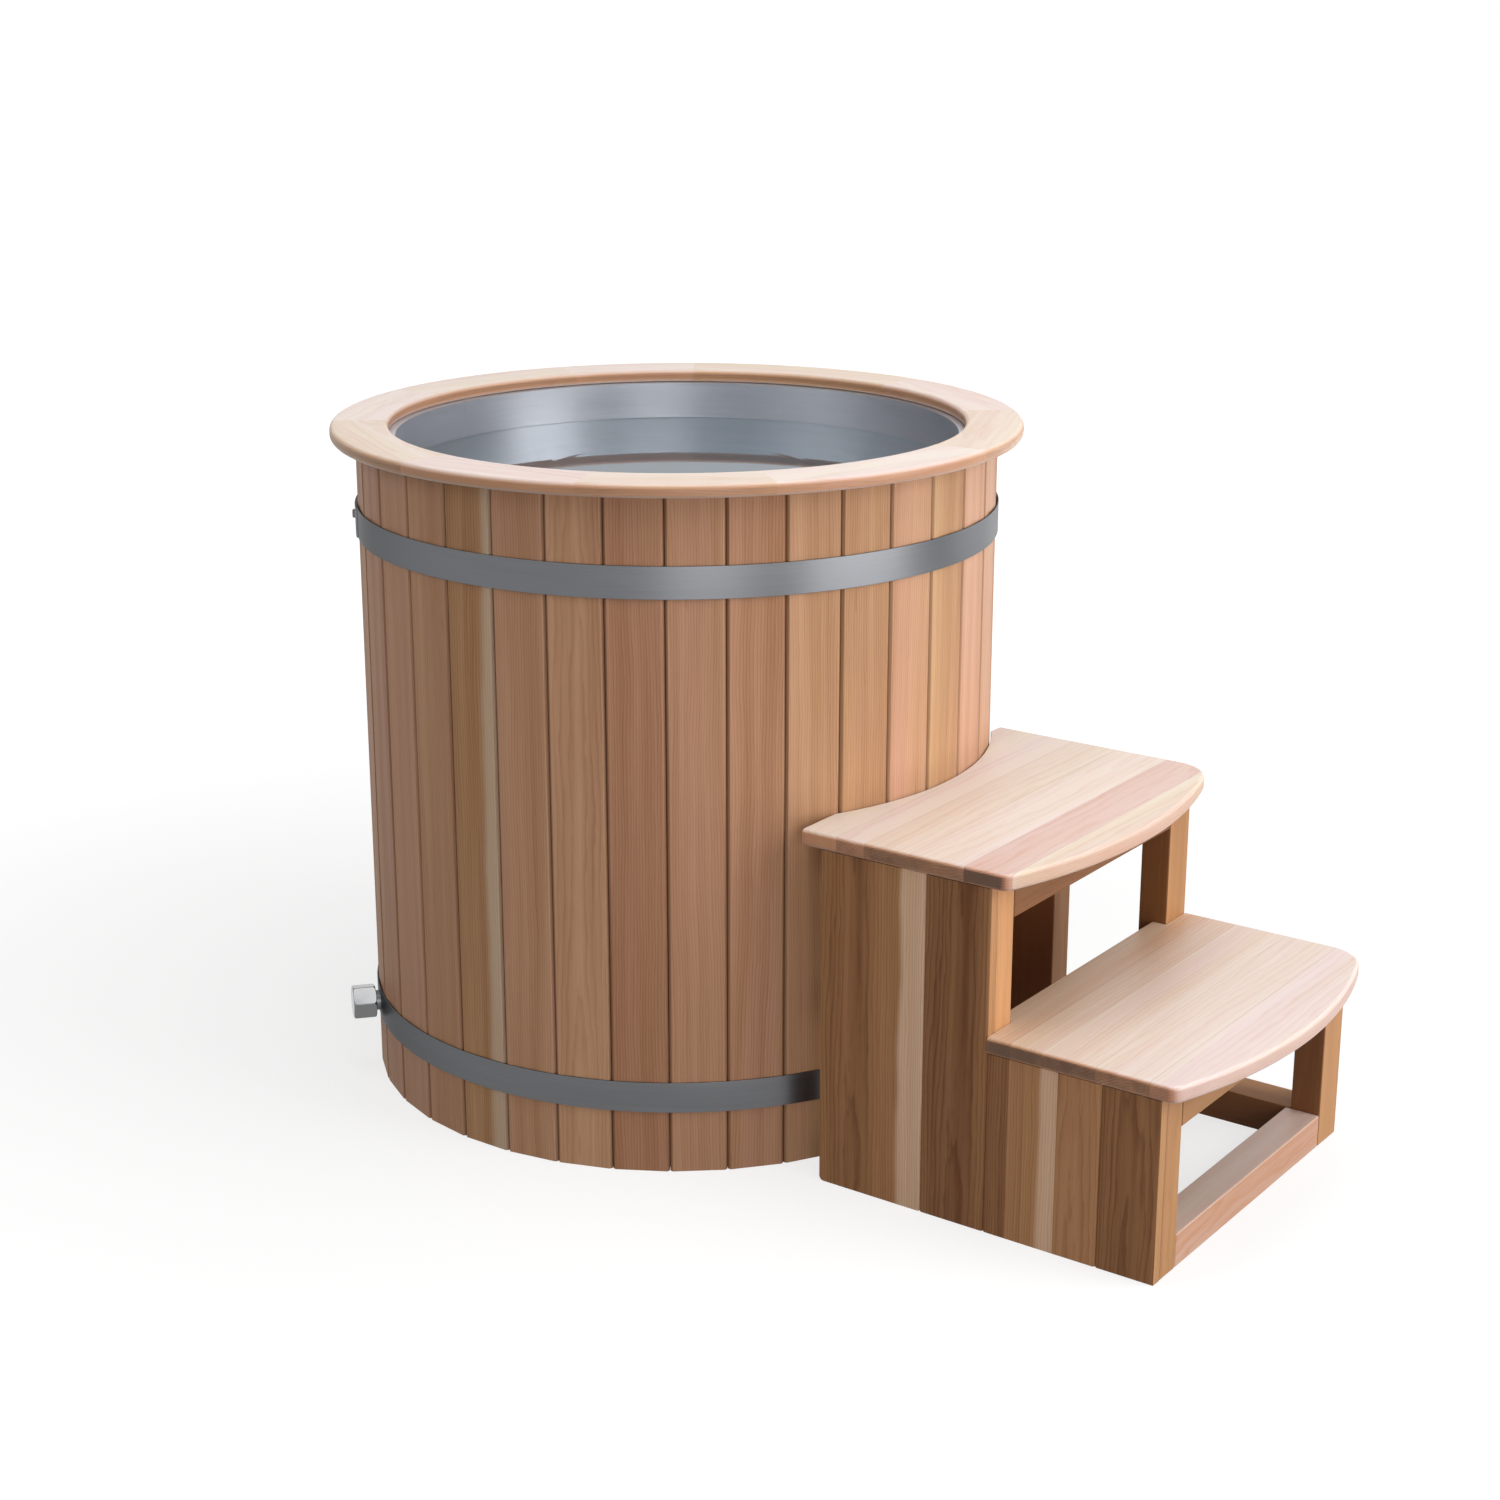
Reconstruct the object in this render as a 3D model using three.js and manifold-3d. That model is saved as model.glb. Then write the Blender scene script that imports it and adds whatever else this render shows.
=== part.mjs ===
// Cold plunge tub: a barrel of wooden staves round a steel liner, and a two-tread step that stands
// against it. Millimetres, +Z up. The origin is on the floor at the tub's axis, and the steps stand on
// the +X side, with their boarded side on -Y and their open side on +Y.

import * as THREE from 'three';
import { mergeVertices } from 'three/addons/utils/BufferGeometryUtils.js';
import Module from 'manifold-3d';

const wasm = await Module();
wasm.setup();

// General
const FIT_GAP = 0.3; // between pieces that touch
const ROUND_SEGMENTS = 72; // flats round the tub
const SMALL_SEGMENTS = 24; // flats round a pipe or a bolt
const BITE = 1; // how far a cut or a glued block reaches past the face it starts from

// Tub
const TUB_RADIUS = 500; // axis to the middle of a stave's outer face
const TUB_HEIGHT = 1056; // floor to the top of the rim
const STAVE_COUNT = 36;
const STAVE_THICKNESS = 42;
const STAVE_CHAMFER = 3; // two of these make the V groove between staves

// Rim
const RIM_THICKNESS = 20;
const RIM_WIDTH = 90;
const RIM_LIP = 40; // how far the rim stands out past the staves
const RIM_ROUNDING = 7;

// Steel liner
const LINER_SHEET = 2;
const LINER_SPACE = 16; // between the liner's wall and the staves
const LINER_FLANGE = 38; // width of the top flange, which lies on the staves
const LINER_CORNER = 16; // inside radius between the floor and the wall

// Base
const BASE_THICKNESS = 30;
const BEARER_HEIGHT = 45;
const BEARER_WIDTH = 70;
const BEARER_PITCH = 260;
const BEARER_INSET = 12; // from the base panel's edge to a bearer's end

// Hoops
const BAND_HEIGHT = 48;
const BAND_THICKNESS = 2;
const UPPER_HOOP_DROP = 147; // top of the rim to the middle of the band
const LAP_LENGTH = 140; // where the band's outer end lies over its inner end
const UPPER_LAP_STAVE = 22; // counted from the stave on +X
const LOWER_LAP_STAVE = 20;

// Hoop bolts
const BOLT_RADIUS = 4;
const BOLT_LENGTH = 24; // shank below the head
const BOLT_HEAD_FLATS = 13;
const BOLT_HEAD_HEIGHT = 5;
const BOLT_CLEARANCE = 0.4;

// Drain, in the middle of the lower band
const DRAIN_STAVE = 23;
const DRAIN_TAIL_RADIUS = 17;
const DRAIN_BORE_RADIUS = 12;
const DRAIN_FLANGE_LAP = 16; // flange past the tail
const DRAIN_FLANGE_THICKNESS = 6;
const DRAIN_STUB_LENGTH = 22; // threaded end that carries the cap
const DRAIN_CLEARANCE = 0.5;
const DRAIN_SILL = 2; // lock nut above the liner's rounded corner
const NUT_WALL = 5.5; // thread to the nut's flats
const NUT_THICKNESS = 12;
const TAIL_PROUD = 3; // tail end past the lock nut
const CAP_WALL = 7.5; // thread to the cap's flats
const CAP_LENGTH = 37;
const CAP_END = 11; // thickness of the cap's closed end
const CAP_CHAMFER = 4;
const CAP_TURN = -0.32; // how far the hexagon is turned, in radians

// Steps
const FRAME_WIDTH = 604; // over the boards and the far posts
const TREAD_SIDE_LAP = 4; // treads past the frame on each side
const TREAD_THICKNESS = 25;
const TREAD_NEAR_CORNER = 20;
const TREAD_FAR_CORNER = 66; // rounder on the open side
const TREAD_TUB_GAP = 1; // between the upper tread's hollow edge and the tub
const UPPER_TREAD_TOP = 548;
const UPPER_TREAD_DEPTH = 346;
const UPPER_NOSING = 26; // tread past the mid posts at its corners
const UPPER_TREAD_TAIL = 32; // tread behind the near back post
const UPPER_TREAD_FAR_TAIL = 62; // tread behind the far back post
const LOWER_TREAD_TOP = 303;
const LOWER_TREAD_REACH = 270; // upper front edge to lower front edge
const LOWER_NOSING = 22;
const LOWER_TREAD_TUCK = 23; // lower tread behind the mid posts' front faces
const POST_WIDTH = 64; // across the steps, boards included on the near side
const POST_DEPTH = 48;
const BACK_POST_WIDTH = 52;
const BACK_POST_DEPTH = 78;
const BACK_POST_CLEARANCE = 37; // back posts to the hoops
const BOARD_THICKNESS = 18;
const BOARD_GROOVE = 2.5; // depth of the V between two boards
const TALL_FRONT_BOARD = 107; // width of the front board under each tread
const SHORT_FRONT_BOARD = 92;
const APRON_HEIGHT = 62;
const APRON_THICKNESS = 24;
const RAIL_HEIGHT = 52;
const FRONT_RAIL_DEPTH = 56;
const LEDGER_HEIGHT = 50;
const LEDGER_DEPTH = 42;

// Levels and radii that follow from the sizes above
const pitch = (2 * Math.PI) / STAVE_COUNT;
const roundness = Math.cos(Math.PI / ROUND_SEGMENTS); // a flat's middle over its corner
const rimUnderside = TUB_HEIGHT - RIM_THICKNESS;
const flangeTop = rimUnderside - FIT_GAP;
const staveTop = flangeTop - LINER_SHEET - FIT_GAP;
const staveInner = TUB_RADIUS - STAVE_THICKNESS;
const staveHalfWidth = TUB_RADIUS * Math.tan(pitch / 2) - FIT_GAP / 2;
const staveReach = Math.hypot(TUB_RADIUS, staveHalfWidth - STAVE_CHAMFER);
const baseTop = BEARER_HEIGHT + BASE_THICKNESS;
const linerOuter = staveInner - LINER_SPACE;
const linerInner = linerOuter - LINER_SHEET;
const linerUnderside = baseTop + FIT_GAP;
const linerFloor = linerUnderside + LINER_SHEET;
const bandInner = (staveReach + FIT_GAP) / roundness;
const bandOuter = bandInner + BAND_THICKNESS;
const lapOuter = bandOuter + BAND_THICKNESS;
const upperHoopMiddle = TUB_HEIGHT - UPPER_HOOP_DROP;
const threadHole = DRAIN_TAIL_RADIUS + DRAIN_CLEARANCE;
const nutFlats = 2 * (threadHole + NUT_WALL);
const nutRadius = nutFlats / 2 / Math.cos(Math.PI / 6);
const lowerHoopMiddle = linerFloor + LINER_CORNER + DRAIN_SILL + nutRadius;

// Places along the steps, measured from the tub's axis
const halfFrame = FRAME_WIDTH / 2;
const halfTread = halfFrame + TREAD_SIDE_LAP;
const upperBackRadius = staveReach + TREAD_TUB_GAP;
const upperFrontRadius = upperBackRadius + UPPER_TREAD_DEPTH;
const postInner = halfFrame - POST_WIDTH; // half the clear width between the posts
const upperCorner = Math.sqrt(upperFrontRadius ** 2 - halfFrame ** 2);
const midFront = upperCorner - UPPER_NOSING;
const lowFront = upperCorner + LOWER_TREAD_REACH - LOWER_NOSING;
const backStart = Math.sqrt(lapOuter ** 2 - postInner ** 2) + BACK_POST_CLEARANCE;
const upperUnderside = UPPER_TREAD_TOP - TREAD_THICKNESS;
const lowerUnderside = LOWER_TREAD_TOP - TREAD_THICKNESS;
const boardInner = halfFrame - BOARD_THICKNESS;

// Finishes
function finish(color, roughness, metalness) {
  return new THREE.MeshStandardMaterial({ color, roughness, metalness });
}
const wood = {
  stave: finish(0xb98c66, 0.6, 0),
  rim: finish(0xe3c3a6, 0.55, 0),
  tread: finish(0xd9b493, 0.55, 0),
  frame: finish(0xb07c50, 0.6, 0),
  board: finish(0x8f6a4a, 0.6, 0),
  base: finish(0x9c7a58, 0.7, 0),
};
const metal = {
  band: finish(0x8b8f94, 0.4, 1),
  liner: finish(0xa9abb2, 0.35, 1),
  bolt: finish(0x6f7276, 0.35, 1),
  chrome: finish(0xd5d7da, 0.12, 1),
};

// Closed geometry: shared vertices merged, empty triangles dropped and faces turned outwards.
function closed(geometry) {
  const bare = geometry.clone();
  bare.deleteAttribute('normal');
  bare.deleteAttribute('uv');
  const merged = mergeVertices(bare);
  const place = merged.getAttribute('position');
  const triangles = [];
  let volume = 0;
  const [a, b, c] = [new THREE.Vector3(), new THREE.Vector3(), new THREE.Vector3()];
  for (let i = 0; i < merged.index.count; i += 3) {
    const corner = [0, 1, 2].map((k) => merged.index.getX(i + k));
    if (new Set(corner).size < 3) continue;
    [a, b, c].forEach((point, k) => point.fromBufferAttribute(place, corner[k]));
    volume += a.dot(b.cross(c)) / 6;
    triangles.push(corner);
  }
  const outward = volume > 0 ? triangles : triangles.map(([p, q, r]) => [p, r, q]);
  merged.setIndex(outward.flat());
  return merged;
}

function solidOf(geometry) {
  const tidy = closed(geometry);
  const vertProperties = new Float32Array(tidy.getAttribute('position').array);
  const triVerts = new Uint32Array(tidy.index.array);
  return new wasm.Manifold(new wasm.Mesh({ numProp: 3, vertProperties, triVerts }));
}

function geometryOf(solid) {
  const { vertProperties, triVerts } = solid.getMesh();
  const geometry = new THREE.BufferGeometry();
  geometry.setAttribute('position', new THREE.BufferAttribute(vertProperties, 3));
  geometry.setIndex(new THREE.BufferAttribute(triVerts, 1));
  return geometry;
}

function cut(geometry, ...tools) {
  return geometryOf(tools.reduce((left, tool) => left.subtract(solidOf(tool)), solidOf(geometry)));
}

function join(...geometries) {
  return geometryOf(geometries.map(solidOf).reduce((sum, next) => sum.add(next)));
}

function common(first, second) {
  return geometryOf(solidOf(first).intersect(solidOf(second)));
}

// A block between two corners.
function block(x0, x1, y0, y1, z0, z1) {
  const geometry = new THREE.BoxGeometry(x1 - x0, y1 - y0, z1 - z0);
  return geometry.translate((x0 + x1) / 2, (y0 + y1) / 2, (z0 + z1) / 2);
}

// A plan outline raised from z0 to z1.
function raised(shape, z0, z1, curveSegments = 8) {
  const geometry = new THREE.ExtrudeGeometry(shape, { depth: z1 - z0, bevelEnabled: false, curveSegments });
  return geometry.translate(0, 0, z0);
}

function outline(points) {
  return new THREE.Shape(points.map(([x, y]) => new THREE.Vector2(x, y)));
}

// A profile of [radius, height] points turned about +Z.
function turned(profile, segments) {
  const points = profile.map(([radius, height]) => new THREE.Vector2(radius, height));
  return new THREE.LatheGeometry(points, segments).rotateX(Math.PI / 2);
}

// The same, turned about +X, for pieces that point straight out from the tub. The half step keeps a
// flat, and not a corner, towards the piece it passes through.
function turnedOutwards(profile, segments = SMALL_SEGMENTS) {
  return turned(profile, segments).rotateZ(Math.PI / segments).rotateY(Math.PI / 2);
}

function rod(radius, x0, x1, segments = SMALL_SEGMENTS) {
  return turnedOutwards([[0, x0], [radius, x0], [radius, x1], [0, x1]], segments);
}

// A hexagonal bar along +X, by its size across flats.
function hexagon(flats, x0, x1) {
  return rod(flats / 2 / Math.cos(Math.PI / 6), x0, x1, 6);
}

// Points of a quarter round, for a rounded profile.
function quarter(x, y, radius, from, steps = 4) {
  return Array.from({ length: steps + 1 }, (_, i) => {
    const angle = from + (i / steps) * (Math.PI / 2);
    return [x + radius * Math.cos(angle), y + radius * Math.sin(angle)];
  });
}

const tub = new THREE.Group();
const steps = new THREE.Group();
const object = new THREE.Group();
object.add(tub, steps);

function addPiece(parent, name, geometry, material) {
  const mesh = new THREE.Mesh(closed(geometry), material.clone());
  mesh.name = name;
  parent.add(mesh);
  return mesh;
}

// Staves: wedges with a flat outer face and chamfered edges, drilled where a fitting passes through.
const drainHole = (x0, x1) => rod(threadHole, x0, x1).translate(0, 0, lowerHoopMiddle);
const boltHole = (height) =>
  rod(BOLT_RADIUS + BOLT_CLEARANCE, lapOuter - BOLT_LENGTH - BOLT_CLEARANCE, lapOuter + FIT_GAP)
    .translate(0, 0, height);
const drillings = new Map([
  [DRAIN_STAVE, drainHole(staveInner - BITE, TUB_RADIUS + BITE)],
  [UPPER_LAP_STAVE, boltHole(upperHoopMiddle)],
  [LOWER_LAP_STAVE, boltHole(lowerHoopMiddle)],
]);

function staveOutline() {
  const innerHalf = staveInner * Math.tan(pitch / 2) - FIT_GAP / 2;
  const shoulder = staveHalfWidth - STAVE_CHAMFER * Math.tan(pitch / 2);
  return outline([
    [staveInner, -innerHalf],
    [TUB_RADIUS - STAVE_CHAMFER, -shoulder],
    [TUB_RADIUS, -(staveHalfWidth - STAVE_CHAMFER)],
    [TUB_RADIUS, staveHalfWidth - STAVE_CHAMFER],
    [TUB_RADIUS - STAVE_CHAMFER, shoulder],
    [staveInner, innerHalf],
  ]);
}

for (let i = 0; i < STAVE_COUNT; i += 1) {
  const plain = raised(staveOutline(), 0, staveTop);
  const geometry = drillings.has(i) ? cut(plain, drillings.get(i)) : plain;
  const name = `stave_${String(i + 1).padStart(2, '0')}`;
  addPiece(tub, name, geometry, wood.stave).rotation.z = i * pitch;
}

// Rim: a flat wooden ring with rounded edges, which covers the staves and the liner's flange.
const rimOuter = TUB_RADIUS + RIM_LIP;
const rimInner = rimOuter - RIM_WIDTH;
const [rimLow, rimHigh] = [rimUnderside + RIM_ROUNDING, TUB_HEIGHT - RIM_ROUNDING];
const rimProfile = [
  ...quarter(rimOuter - RIM_ROUNDING, rimLow, RIM_ROUNDING, -Math.PI / 2),
  ...quarter(rimOuter - RIM_ROUNDING, rimHigh, RIM_ROUNDING, 0),
  ...quarter(rimInner + RIM_ROUNDING, rimHigh, RIM_ROUNDING, Math.PI / 2),
  ...quarter(rimInner + RIM_ROUNDING, rimLow, RIM_ROUNDING, Math.PI),
];
addPiece(tub, 'rim_ring', turned([...rimProfile, rimProfile[0]], ROUND_SEGMENTS), wood.rim);

// Liner: one welded steel vessel. Its flange lies on the staves and its floor on the base panel.
const linerProfile = [
  [0, linerUnderside],
  ...quarter(linerInner - LINER_CORNER, linerFloor + LINER_CORNER, LINER_CORNER + LINER_SHEET, -Math.PI / 2),
  [linerOuter, flangeTop - LINER_SHEET],
  [linerInner + LINER_FLANGE, flangeTop - LINER_SHEET],
  [linerInner + LINER_FLANGE, flangeTop],
  [linerInner, flangeTop],
  ...quarter(linerInner - LINER_CORNER, linerFloor + LINER_CORNER, LINER_CORNER, -Math.PI / 2).reverse(),
  [0, linerFloor],
];
const drainAngle = DRAIN_STAVE * pitch;
const linerHole = drainHole(linerInner - LINER_CORNER, linerOuter + LINER_SPACE / 2).rotateZ(drainAngle);
addPiece(tub, 'steel_liner', cut(turned(linerProfile, ROUND_SEGMENTS), linerHole), metal.liner);

// Base: a panel that fits inside the staves, glued on three bearers that stand on the floor.
const panelReach = staveInner - FIT_GAP;
const panel = turned(
  [[0, BEARER_HEIGHT], [panelReach, BEARER_HEIGHT], [panelReach, baseTop], [0, baseTop]],
  ROUND_SEGMENTS,
);
const bearers = [-1, 0, 1].map((row) => {
  const [low, high] = [row * BEARER_PITCH - BEARER_WIDTH / 2, row * BEARER_PITCH + BEARER_WIDTH / 2];
  const farEdge = Math.max(Math.abs(low), Math.abs(high));
  const half = Math.sqrt((panelReach - BEARER_INSET) ** 2 - farEdge ** 2);
  return block(-half, half, low, high, 0, BEARER_HEIGHT + BITE);
});
addPiece(tub, 'base_panel', join(panel, ...bearers), wood.base);

// Hoops: flat steel bands whose lapped ends are bolted into a stave.
function band(middle, lapStave, ...holes) {
  const [low, high] = [middle - BAND_HEIGHT / 2, middle + BAND_HEIGHT / 2];
  const ring = turned(
    [[bandInner, low], [bandOuter, low], [bandOuter, high], [bandInner, high], [bandInner, low]],
    ROUND_SEGMENTS,
  );
  const half = LAP_LENGTH / 2 / bandOuter;
  const lap = new THREE.Shape()
    .absarc(0, 0, lapOuter, -half, half, false)
    .absarc(0, 0, bandInner + BAND_THICKNESS / 2, half, -half, true);
  const turn = lapStave * pitch;
  const lapped = join(ring, raised(lap, low, high).rotateZ(turn));
  return cut(lapped, boltHole(middle).rotateZ(turn), ...holes);
}
const bandDrainHole = drainHole(TUB_RADIUS, lapOuter + BITE).rotateZ(drainAngle);
addPiece(tub, 'upper_hoop', band(upperHoopMiddle, UPPER_LAP_STAVE), metal.band);
addPiece(tub, 'lower_hoop', band(lowerHoopMiddle, LOWER_LAP_STAVE, bandDrainHole), metal.band);

// Hoop bolts: hexagon heads outside the lap, shanks in the stave.
function bolt(name, height, lapStave) {
  const seat = lapOuter + FIT_GAP;
  const shank = rod(BOLT_RADIUS, lapOuter - BOLT_LENGTH, seat + BITE);
  const geometry = join(shank, hexagon(BOLT_HEAD_FLATS, seat, seat + BOLT_HEAD_HEIGHT));
  const mesh = addPiece(tub, name, geometry.translate(0, 0, height), metal.bolt);
  mesh.rotation.z = lapStave * pitch;
}
bolt('upper_hoop_bolt', upperHoopMiddle, UPPER_LAP_STAVE);
bolt('lower_hoop_bolt', lowerHoopMiddle, LOWER_LAP_STAVE);

// Drain: a flanged tail through the wall, a lock nut inside and a hexagon cap outside, in a group
// whose +X points straight out through the lower band.
const drain = new THREE.Group();
drain.position.z = lowerHoopMiddle;
drain.rotation.z = drainAngle;
tub.add(drain);

const nutSeat = Math.sqrt((linerInner * roundness) ** 2 - nutRadius ** 2) - FIT_GAP;
const tailEnd = nutSeat - NUT_THICKNESS - TAIL_PROUD;
const flangeSeat = bandOuter + FIT_GAP;
const flangeFace = flangeSeat + DRAIN_FLANGE_THICKNESS;
const flangeRadius = DRAIN_TAIL_RADIUS + DRAIN_FLANGE_LAP;
const stubEnd = flangeFace + DRAIN_STUB_LENGTH;
const fittingProfile = [
  [DRAIN_BORE_RADIUS, tailEnd],
  [DRAIN_TAIL_RADIUS, tailEnd],
  [DRAIN_TAIL_RADIUS, flangeSeat],
  [flangeRadius, flangeSeat],
  [flangeRadius, flangeFace],
  [DRAIN_TAIL_RADIUS, flangeFace],
  [DRAIN_TAIL_RADIUS, stubEnd],
  [DRAIN_BORE_RADIUS, stubEnd],
  [DRAIN_BORE_RADIUS, tailEnd],
];
addPiece(drain, 'drain_fitting', turnedOutwards(fittingProfile), metal.bolt);

const nutBlank = hexagon(nutFlats, nutSeat - NUT_THICKNESS, nutSeat);
const nut = cut(nutBlank, rod(threadHole, tailEnd, nutSeat + BITE));
addPiece(drain, 'drain_lock_nut', nut, metal.chrome);

const capStart = flangeFace + FIT_GAP;
const capEnd = capStart + CAP_LENGTH;
const capFlats = 2 * (threadHole + CAP_WALL);
const capRadius = capFlats / 2 / Math.cos(Math.PI / 6);
const capBlank = turnedOutwards([
  [0, capStart],
  [capRadius - CAP_CHAMFER, capStart],
  [capRadius, capStart + CAP_CHAMFER],
  [capRadius, capEnd - CAP_CHAMFER],
  [capRadius - CAP_CHAMFER, capEnd],
  [0, capEnd],
]);
const capShell = common(hexagon(capFlats, capStart, capEnd), capBlank);
const cap = cut(capShell, rod(threadHole, capStart - BITE, capEnd - CAP_END));
addPiece(drain, 'drain_cap', cap.rotateX(CAP_TURN), metal.chrome);

// Treads: both fronts are cut to one curve about the tub's axis, moved forward for the lower tread. The
// corners on the boarded side are nearly sharp, those on the open side are rounder.
function rounded(corner, forward) {
  const reach = upperFrontRadius - corner;
  const y = halfTread - corner;
  const x = Math.sqrt(reach ** 2 - y ** 2);
  return { corner, x: x + forward, y, swing: Math.atan2(y, x) };
}
function frontEdge(shape, forward) {
  const near = rounded(TREAD_NEAR_CORNER, forward);
  const far = rounded(TREAD_FAR_CORNER, forward);
  return shape
    .lineTo(near.x, -halfTread)
    .absarc(near.x, -near.y, near.corner, -Math.PI / 2, -near.swing, false)
    .absarc(forward, 0, upperFrontRadius, -near.swing, far.swing, false)
    .absarc(far.x, far.y, far.corner, far.swing, Math.PI / 2, false);
}

// The upper tread's back is hollow round the tub and straight at its two ends.
function upperTread() {
  const nearTail = backStart - UPPER_TREAD_TAIL;
  const farTail = backStart - UPPER_TREAD_FAR_TAIL;
  const nearSwing = Math.acos(nearTail / upperBackRadius);
  const farSwing = Math.acos(farTail / upperBackRadius);
  const shape = frontEdge(new THREE.Shape().moveTo(nearTail, -halfTread), 0)
    .lineTo(farTail, halfTread)
    .lineTo(farTail, upperBackRadius * Math.sin(farSwing))
    .absarc(0, 0, upperBackRadius, farSwing, -nearSwing, true);
  return raised(shape, upperUnderside, UPPER_TREAD_TOP);
}

// The lower tread is notched round the two mid posts and tucks in between them.
function lowerTread() {
  const notch = midFront + FIT_GAP;
  const tuck = midFront - LOWER_TREAD_TUCK;
  const inner = postInner - FIT_GAP;
  const shape = frontEdge(new THREE.Shape().moveTo(notch, -halfTread), LOWER_TREAD_REACH)
    .lineTo(notch, halfTread)
    .lineTo(notch, inner)
    .lineTo(tuck, inner)
    .lineTo(tuck, -inner)
    .lineTo(notch, -inner);
  return raised(shape, lowerUnderside, LOWER_TREAD_TOP);
}
addPiece(steps, 'upper_tread', upperTread(), wood.tread);
addPiece(steps, 'lower_tread', lowerTread(), wood.tread);

// Side panel: upright boards glued edge to edge, two tall ones under the upper tread and two short ones
// under the lower, with a V groove at each joint.
function boards(x0, x1, underside) {
  return block(x0, x1, -halfFrame, -boardInner, 0, underside - FIT_GAP);
}
function groove(x, underside) {
  const half = BOARD_GROOVE + BITE;
  const mouth = -halfFrame - BITE;
  const vee = outline([[x - half, mouth], [x + half, mouth], [x, -halfFrame + BOARD_GROOVE]]);
  return raised(vee, -BITE, underside);
}
const tallBoards = boards(backStart, midFront, upperUnderside);
const shortBoards = boards(midFront - BITE, lowFront, lowerUnderside);
const sidePanel = cut(
  join(tallBoards, shortBoards),
  groove(midFront - TALL_FRONT_BOARD, upperUnderside),
  groove(midFront, lowerUnderside),
  groove(lowFront - SHORT_FRONT_BOARD, lowerUnderside),
);
addPiece(steps, 'side_panel', sidePanel, wood.board);

// Posts. The near ones stand behind the boards, the far ones stand free.
function post(name, x0, x1, y0, y1, top) {
  addPiece(steps, name, block(x0, x1, y0, y1, 0, top - FIT_GAP), wood.frame);
}
const nearFace = -(boardInner - FIT_GAP);
const backEnd = backStart + BACK_POST_DEPTH;
post('near_back_post', backStart, backEnd, nearFace, -postInner, upperUnderside);
post('near_mid_post', midFront - POST_DEPTH, midFront, nearFace, -postInner, upperUnderside);
post('near_front_post', lowFront - POST_DEPTH, lowFront, nearFace, -postInner, lowerUnderside);
post('far_back_post', backStart, backEnd, halfFrame - BACK_POST_WIDTH, halfFrame, upperUnderside);
post('far_mid_post', midFront - POST_DEPTH, midFront, postInner, halfFrame, upperUnderside);
post('far_front_post', lowFront - POST_DEPTH, lowFront, postInner, halfFrame, lowerUnderside);

// Rails between the posts.
const railHalf = postInner - FIT_GAP;
function crossRail(name, front, depth, top, height) {
  addPiece(steps, name, block(front - depth, front, -railHalf, railHalf, top - height, top), wood.frame);
}
crossRail('upper_apron', midFront, APRON_THICKNESS, upperUnderside - FIT_GAP, APRON_HEIGHT);
crossRail('lower_apron', lowFront, APRON_THICKNESS, lowerUnderside - FIT_GAP, APRON_HEIGHT);
crossRail('front_bottom_rail', lowFront, FRONT_RAIL_DEPTH, RAIL_HEIGHT, RAIL_HEIGHT);
crossRail('tread_ledger', midFront, LEDGER_DEPTH, lowerUnderside - FIT_GAP, LEDGER_HEIGHT);
addPiece(
  steps,
  'far_bottom_rail',
  block(midFront + FIT_GAP, lowFront - POST_DEPTH - FIT_GAP, postInner, halfFrame, 0, RAIL_HEIGHT),
  wood.frame,
);

export default object;
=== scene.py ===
# %% [markdown]
# # A cold plunge tub and its steps
# The real object is a barrel of upright wooden staves round a steel liner, with a flat wooden rim, two steel
# hoops, a capped drain and a two-tread step that stands against it. The frame that is loaded first holds every
# piece at its true size and place. Each cell below models one kind of piece by hand, inside that frame.

# %% Load the frame
import math
import random

import bmesh
import bpy
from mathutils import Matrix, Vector


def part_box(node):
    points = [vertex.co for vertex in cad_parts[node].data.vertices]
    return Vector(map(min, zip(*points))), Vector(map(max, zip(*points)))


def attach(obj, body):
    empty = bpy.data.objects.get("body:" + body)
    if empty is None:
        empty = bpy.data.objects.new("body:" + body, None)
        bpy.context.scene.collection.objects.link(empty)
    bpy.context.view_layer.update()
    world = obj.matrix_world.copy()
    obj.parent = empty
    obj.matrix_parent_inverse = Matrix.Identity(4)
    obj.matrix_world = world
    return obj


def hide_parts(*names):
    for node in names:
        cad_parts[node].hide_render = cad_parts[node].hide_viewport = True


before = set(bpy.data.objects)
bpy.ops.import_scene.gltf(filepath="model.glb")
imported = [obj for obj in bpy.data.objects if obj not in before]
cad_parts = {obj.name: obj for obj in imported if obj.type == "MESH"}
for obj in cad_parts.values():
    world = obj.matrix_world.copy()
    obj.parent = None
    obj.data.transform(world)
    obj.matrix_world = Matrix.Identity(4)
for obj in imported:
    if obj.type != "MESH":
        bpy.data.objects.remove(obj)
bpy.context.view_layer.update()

# %% [markdown]
# ## Hands
# Modelling by hand means adding a primitive, opening it in edit mode, selecting some faces or edges and using
# an operator on them. These helpers do the same in code. An operator acts on all that is selected, so each
# helper starts by deselecting everything.

# %% Helpers for adding, opening and selecting
QUARTER = math.pi / 2


def alone(piece=None):
    """Deselects everything, then selects one piece and makes it active."""
    bpy.ops.object.select_all(action="DESELECT")
    if piece:
        piece.select_set(True)
        bpy.context.view_layer.objects.active = piece


def named(name, scale=(1, 1, 1)):
    """Names the piece that was just added, sizes it and puts its place into its mesh."""
    piece = bpy.context.active_object
    piece.name = piece.data.name = name
    piece.scale = scale
    alone(piece)
    bpy.ops.object.transform_apply(location=True, rotation=True, scale=True)
    return piece


def open_piece(piece):
    alone(piece)
    bpy.ops.object.mode_set(mode="EDIT")
    bpy.ops.mesh.select_all(action="DESELECT")


def close_piece():
    bpy.ops.object.mode_set(mode="OBJECT")


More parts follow.
